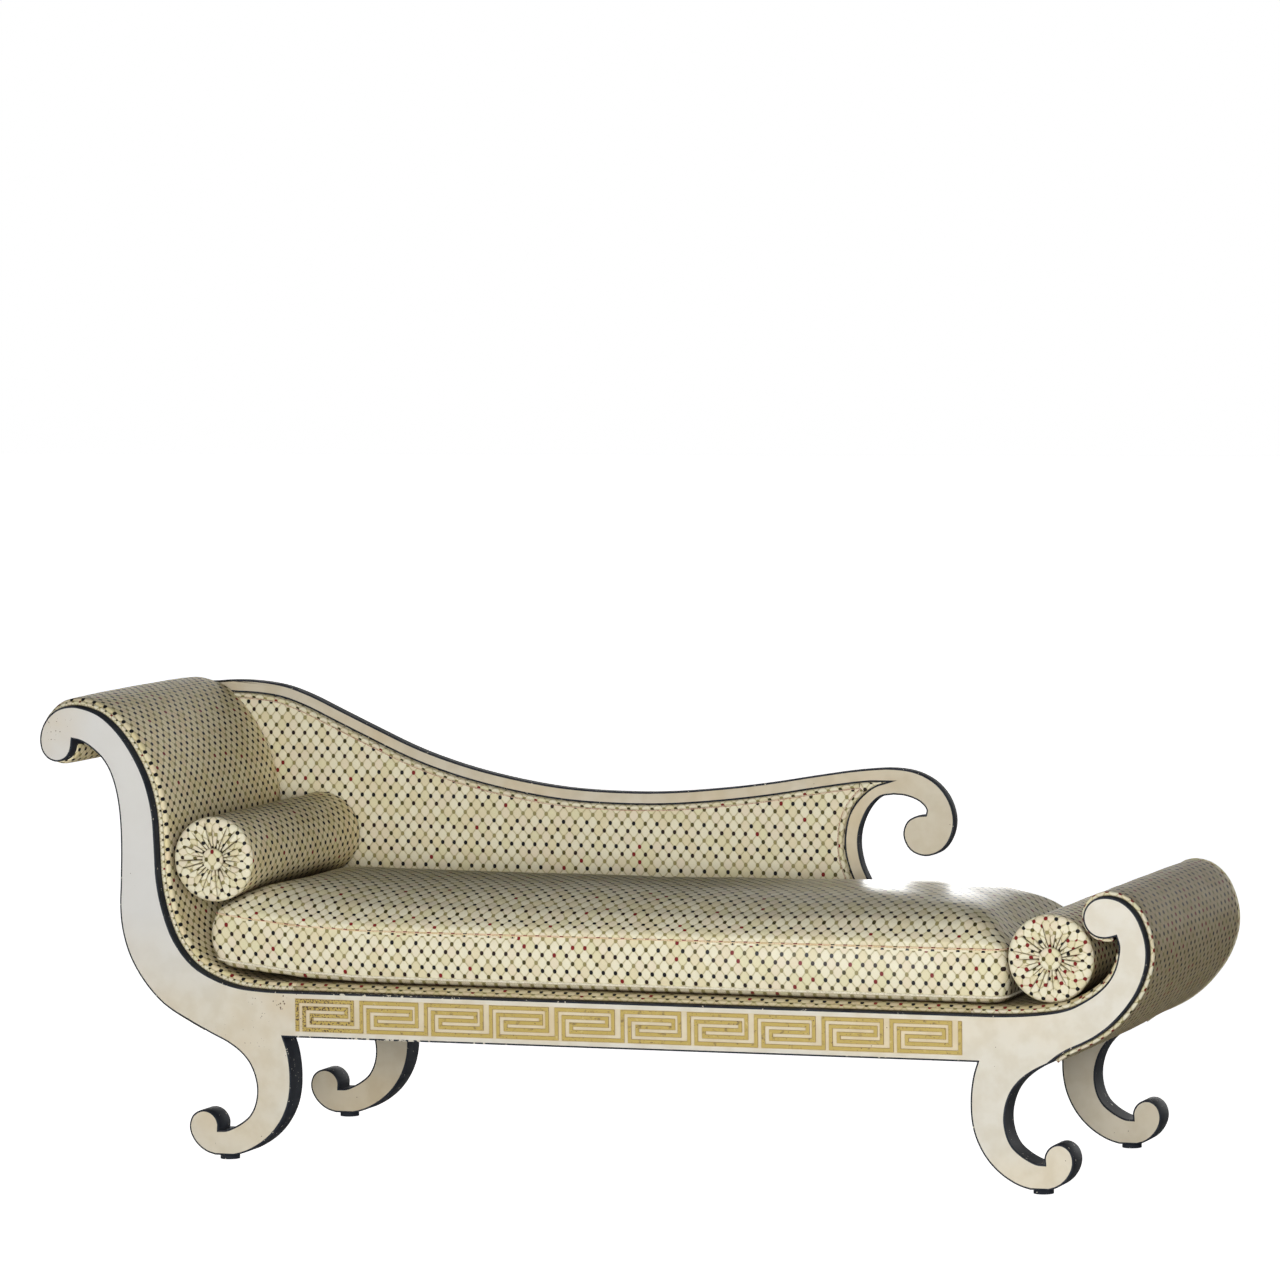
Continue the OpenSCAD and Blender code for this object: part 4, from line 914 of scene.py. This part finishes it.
def bolster(name, node, body, seed, finish, end_finish, settled):
    dice = random.Random(seed)
    low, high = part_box(node)
    centre = (low + high) / 2 + settled
    radius = (high.x - low.x) / 2
    swell_out = 0.009
    spokes = pleat_count * spokes_per_pleat
    deep = [dice.uniform(0.6, 1.25) for _ in range(pleat_count)]
    slew = [dice.uniform(-1.2, 1.2) for _ in range(pleat_count)]
    begins = [dice.uniform(0.6, 1.0) for _ in range(pleat_count)]
    body_steps = 20
    end_rings = [(1.0, 0.0), (0.997, 0.22), (0.980, 0.46), (0.955, 0.66), (0.92, 0.82), (0.87, 0.94),
                 (0.80, 1.0), (0.72, 1.02), (0.64, 1.0), (0.56, 0.94), (0.48, 0.84), (0.41, 0.68),
                 (0.34, 0.46), (0.28, 0.2), (0.2, 0.0)]
    flat_low = low.y + swell_out + 0.0024
    flat_high = high.y - swell_out - 0.0024
    rows = [("end", -1, share, out) for share, out in reversed(end_rings)]
    rows += [("body", 0, k / body_steps, 0) for k in range(1, body_steps)]
    rows += [("end", 1, share, out) for share, out in end_rings]
    skin = bmesh.new()
    cloth = skin.loops.layers.uv.new("UVMap")
    grid = []
    cloth_v = []
    for kind, toward, share, out in rows:
        line = []
        for s in range(spokes):
            turn = math.tau * s / spokes
            pleat, within = divmod(s, spokes_per_pleat)
            phase = within / spokes_per_pleat
            ridge = math.sin(math.pi * phase) ** 0.3 if phase else 0.0
            if kind == "body":
                where = Vector((math.cos(turn) * 1.5, share * 4, math.sin(turn) * 1.5 + seed))
                sag = 0.0015 * noise.noise(where)
                reach = radius - 0.001 + sag
                y = flat_low + (flat_high - flat_low) * share
            else:
                rim = max(0, min(1, (begins[pleat] - share) / 0.3)) ** 0.8
                fade = rim * min(1, share / 0.3)
                reach = radius * share * (1 - 0.006 * (1 - ridge) * rim)
                depth = 0.0075 * deep[pleat] * (1 - ridge) * fade
                base = flat_low if toward < 0 else flat_high
                y = base + toward * (swell_out * out - depth + 0.0015 * ridge * fade)
                turn += slew[pleat] * 0.10 * (1 - share) * math.sin(math.pi * phase)
            spot = (centre.x + reach * math.sin(turn), y, centre.z + reach * math.cos(turn))
            line.append(skin.verts.new(spot))
        grid.append(line)
        if kind == "body":
            cloth_v.append(flat_low + (flat_high - flat_low) * share)
        else:
            base = flat_low if toward < 0 else flat_high
            cloth_v.append(base + toward * (radius * (1 - share) + 0.006 * min(1, out * 3)))
    for r in range(len(rows) - 1):
        for s in range(spokes):
            after = (s + 1) % spokes
            face = skin.faces.new((grid[r][s], grid[r][after], grid[r + 1][after], grid[r + 1][s]))
            pleat = s // spokes_per_pleat
            pleat_middle = (pleat + 0.5) * spokes_per_pleat
            for loop, (row, spoke) in zip(face.loops, ((r, s), (r, s + 1), (r + 1, s + 1), (r + 1, s))):
                share = rows[row][2] if rows[row][0] == "end" else 1.0
                off = (spoke - pleat_middle) / spokes * math.tau * radius * max(share, 0.3)
                girth = pleat_middle / spokes * math.tau * radius + off
                loop[cloth].uv = (cloth_round * girth, cloth_along_roll * cloth_v[row])
    for line in (grid[0], grid[-1]):
        skin.faces.new(line)
    bmesh.ops.recalc_face_normals(skin, faces=skin.faces)
    mesh = bpy.data.meshes.new(name)
    skin.to_mesh(mesh)
    skin.free()
    piece = bpy.data.objects.new(name, mesh)
    bpy.context.collection.objects.link(piece)
    mesh.materials.append(finish)
    mesh.materials.append(end_finish)
    for polygon in mesh.polygons:
        polygon.material_index = 0 if flat_low < polygon.center.y < flat_high else 1
    only(piece)
    bpy.ops.object.shade_smooth_by_angle(angle=math.radians(60))
    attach(piece, body)
    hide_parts(node)
    for label, y, toward in (
        ("front", flat_low - swell_out * 0.55, -1),
        ("rear", flat_high + swell_out * 0.55, 1),
    ):
        bpy.ops.object.select_all(action="DESELECT")
        bpy.ops.mesh.primitive_uv_sphere_add(segments=32, ring_count=16, radius=1, location=(0, 0, 0))
        button = bpy.context.object
        button.name = name + "_button_" + label
        for vertex in button.data.vertices:
            spot = vertex.co.copy()
            face = 1 - (1 - abs(spot.z)) ** 2.6 if spot.z > 0 else -abs(spot.z)
            reach = button_face_r * math.hypot(spot.x, spot.y) ** 0.8
            turn = math.atan2(spot.y, spot.x)
            vertex.co = (centre.x + reach * math.cos(turn), y + toward * face * button_out,
                         centre.z + reach * math.sin(turn))
        only(button)
        bpy.ops.object.mode_set(mode="EDIT")
        bpy.ops.mesh.select_all(action="SELECT")
        bpy.ops.mesh.normals_make_consistent(inside=False)
        bpy.ops.object.mode_set(mode="OBJECT")
        layer = button.data.uv_layers["UVMap"]
        for index, loop in enumerate(button.data.loops):
            spot = button.data.vertices[loop.vertex_index].co
            layer.data[index].uv = (spot.x - centre.x + 0.0109, spot.z - centre.z)
        button.data.materials.append(lattice_fabric)
        only(button)
        bpy.ops.object.shade_smooth()
        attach(button, body)
        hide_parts(node + "_buttons")


# The bolster bodies take the brighter tinted copies, painted light.
bolster("head_bolster_case", "head_bolster", "head_roll", 3,
        rolled_fabric, lattice_fabric, Vector((-0.004, 0, 0.004)))
bolster("foot_bolster_case", "foot_bolster", "foot_roll", 8,
        rolled_fabric_red, lattice_fabric_red, Vector((0, 0, 0)))

# The inside of the frame: bare beech rails and blocks, jute webbing, steel screws, a black dust
# cover underneath and dark glides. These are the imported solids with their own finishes.
beech, tree, shader = new_finish("bare_beech", Roughness=0.7)
place = add(tree, "TexCoord").outputs["Object"]
stretched = add(tree, "Mapping", {"Vector": place, "Scale": (60.0, 4.0, 60.0)}).outputs[0]
tone = ramp(tree, grain(tree, stretched, 1.5, 6.0), (0.3, (0.42, 0.27, 0.13)), (0.7, (0.62, 0.45, 0.26)))
tree.links.new(tone, shader.inputs["Base Color"])
jute, tree, shader = new_finish("jute_webbing", Roughness=0.95)
place = add(tree, "TexCoord").outputs["Object"]
checks = add(tree, "TexChecker", {"Vector": place, "Scale": 500.0, "Color1": (0.36, 0.27, 0.14, 1),
                                  "Color2": (0.28, 0.20, 0.10, 1)})
tree.links.new(checks.outputs["Color"], shader.inputs["Base Color"])
black_cloth, tree, shader = new_finish("dust_cover_cloth", Roughness=0.95)
place = add(tree, "TexCoord").outputs["Object"]
tone = ramp(tree, grain(tree, place, 700.0, 2.0), (0.3, (0.012, 0.012, 0.012)), (0.7, (0.035, 0.035, 0.035)))
tree.links.new(tone, shader.inputs["Base Color"])
screw_steel, tree, shader = new_finish("screw_steel", Roughness=0.35, Metallic=1.0)
place = add(tree, "TexCoord").outputs["Object"]
tone = ramp(tree, grain(tree, place, 400.0), (0.3, (0.42, 0.42, 0.44)), (0.7, (0.6, 0.6, 0.62)))
tree.links.new(tone, shader.inputs["Base Color"])
for finish, nodes in (
    (beech, ("back_core", "seat_cross_rails", "seat_battens", "head_scroll_rails", "foot_scroll_rails",
             "corner_blocks", "frame_dowels")),
    (jute, ("seat_webbing",)),
    (black_cloth, ("dust_cover",)),
    (screw_steel, ("block_screws",)),
    (dark_paint, ("glides",)),
):
    for node in nodes:
        slots = frame["nodes"][node].data.materials
        slots.clear()
        slots.append(finish)

# The studio: a white floor and sky as the camera sees them, a dim sky with a brighter patch low
# behind the daybed to light it, a broad soft lamp near the camera and a weak one to its left.
floor_white, tree, shader = new_finish("floor_white", Roughness=0.9)
shader.inputs["Base Color"].default_value = (0.86, 0.86, 0.86, 1)
seen = add(tree, "LightPath").outputs["Is Camera Ray"]
glow = add(tree, "Emission", {"Color": (1, 1, 1, 1), "Strength": math_node(tree, "MULTIPLY", seen, 0.92)})
both = add(tree, "AddShader", {0: shader.outputs[0], 1: glow.outputs[0]})
tree.links.new(both.outputs[0], tree.nodes["Material Output"].inputs["Surface"])
bpy.ops.object.select_all(action="DESELECT")
bpy.ops.mesh.primitive_plane_add(size=60, location=(0, 0, 0))
floor = bpy.context.object
floor.name = "studio_floor"
floor.data.materials.append(floor_white)
sky = bpy.data.worlds.new("studio_sky")
bpy.context.scene.world = sky
sky.use_nodes = True
tree = sky.node_tree
tree.nodes.clear()
seen = add(tree, "LightPath")
way = add(tree, "SeparateXYZ", {0: add(tree, "TexCoord").outputs["Generated"]})
low_sky = ramp(tree, way.outputs[2], (0.0, (0.90, 0.90, 0.90)), (0.30, (0.40, 0.40, 0.40)),
               (0.6, (0.05, 0.05, 0.05)))
behind = ramp(tree, way.outputs[1], (0.45, (0.22, 0.22, 0.22)), (0.85, (1.0, 1.0, 1.0)))
left = ramp(tree, way.outputs[0], (0.0, (1.0, 1.0, 1.0)), (0.3, (0.55, 0.55, 0.55)))
low_sky = mixed(tree, 1.0, mixed(tree, 1.0, low_sky, left, "MULTIPLY"), (0.92, 0.885, 0.82), "MULTIPLY")
for axis, first, last in ((0, (1, 1, 1), (0, 0, 0)), (1, (0, 0, 0), (1, 1, 1)), (2, (1, 1, 1), (0, 0, 0))):
    start, end = ((0.30, 0.55), (0.62, 0.82), (0.26, 0.46))[axis]
    side = ramp(tree, way.outputs[axis], (start, first), (end, last))
    backdrop = side if axis == 0 else mixed(tree, 1.0, backdrop, side, "MULTIPLY")
low_sky = mixed(tree, 1.0, low_sky, mixed(tree, 1.0, backdrop, (3.4, 3.4, 3.4), "MULTIPLY"), "ADD")
plain = add(tree, "Background", {"Color": low_sky, "Strength": math_node(tree, "MULTIPLY", behind, 1.3)})
bright = add(tree, "Background", {"Color": (1, 1, 1, 1), "Strength": 1.0})
blend = add(tree, "MixShader", {0: seen.outputs["Is Camera Ray"], 1: plain.outputs[0], 2: bright.outputs[0]})
out = add(tree, "OutputWorld", {"Surface": blend.outputs[0]})
for name, spot, aim, size, power in (
    ("front_left_light", (-1.4, -4.6, 1.1), (0, 0, 0.4), 2.0, 28),
    ("camera_light", (1.5, -5.2, 1.0), (-0.2, 0, 0.4), 2.0, 192),
):
    lamp = bpy.data.lights.new(name, "AREA")
    lamp.shape = "DISK"
    lamp.size = size
    lamp.energy = power
    holder = bpy.data.objects.new(name, lamp)
    bpy.context.collection.objects.link(holder)
    holder.location = spot
    holder.rotation_euler = (Vector(aim) - Vector(spot)).to_track_quat("-Z", "Y").to_euler()
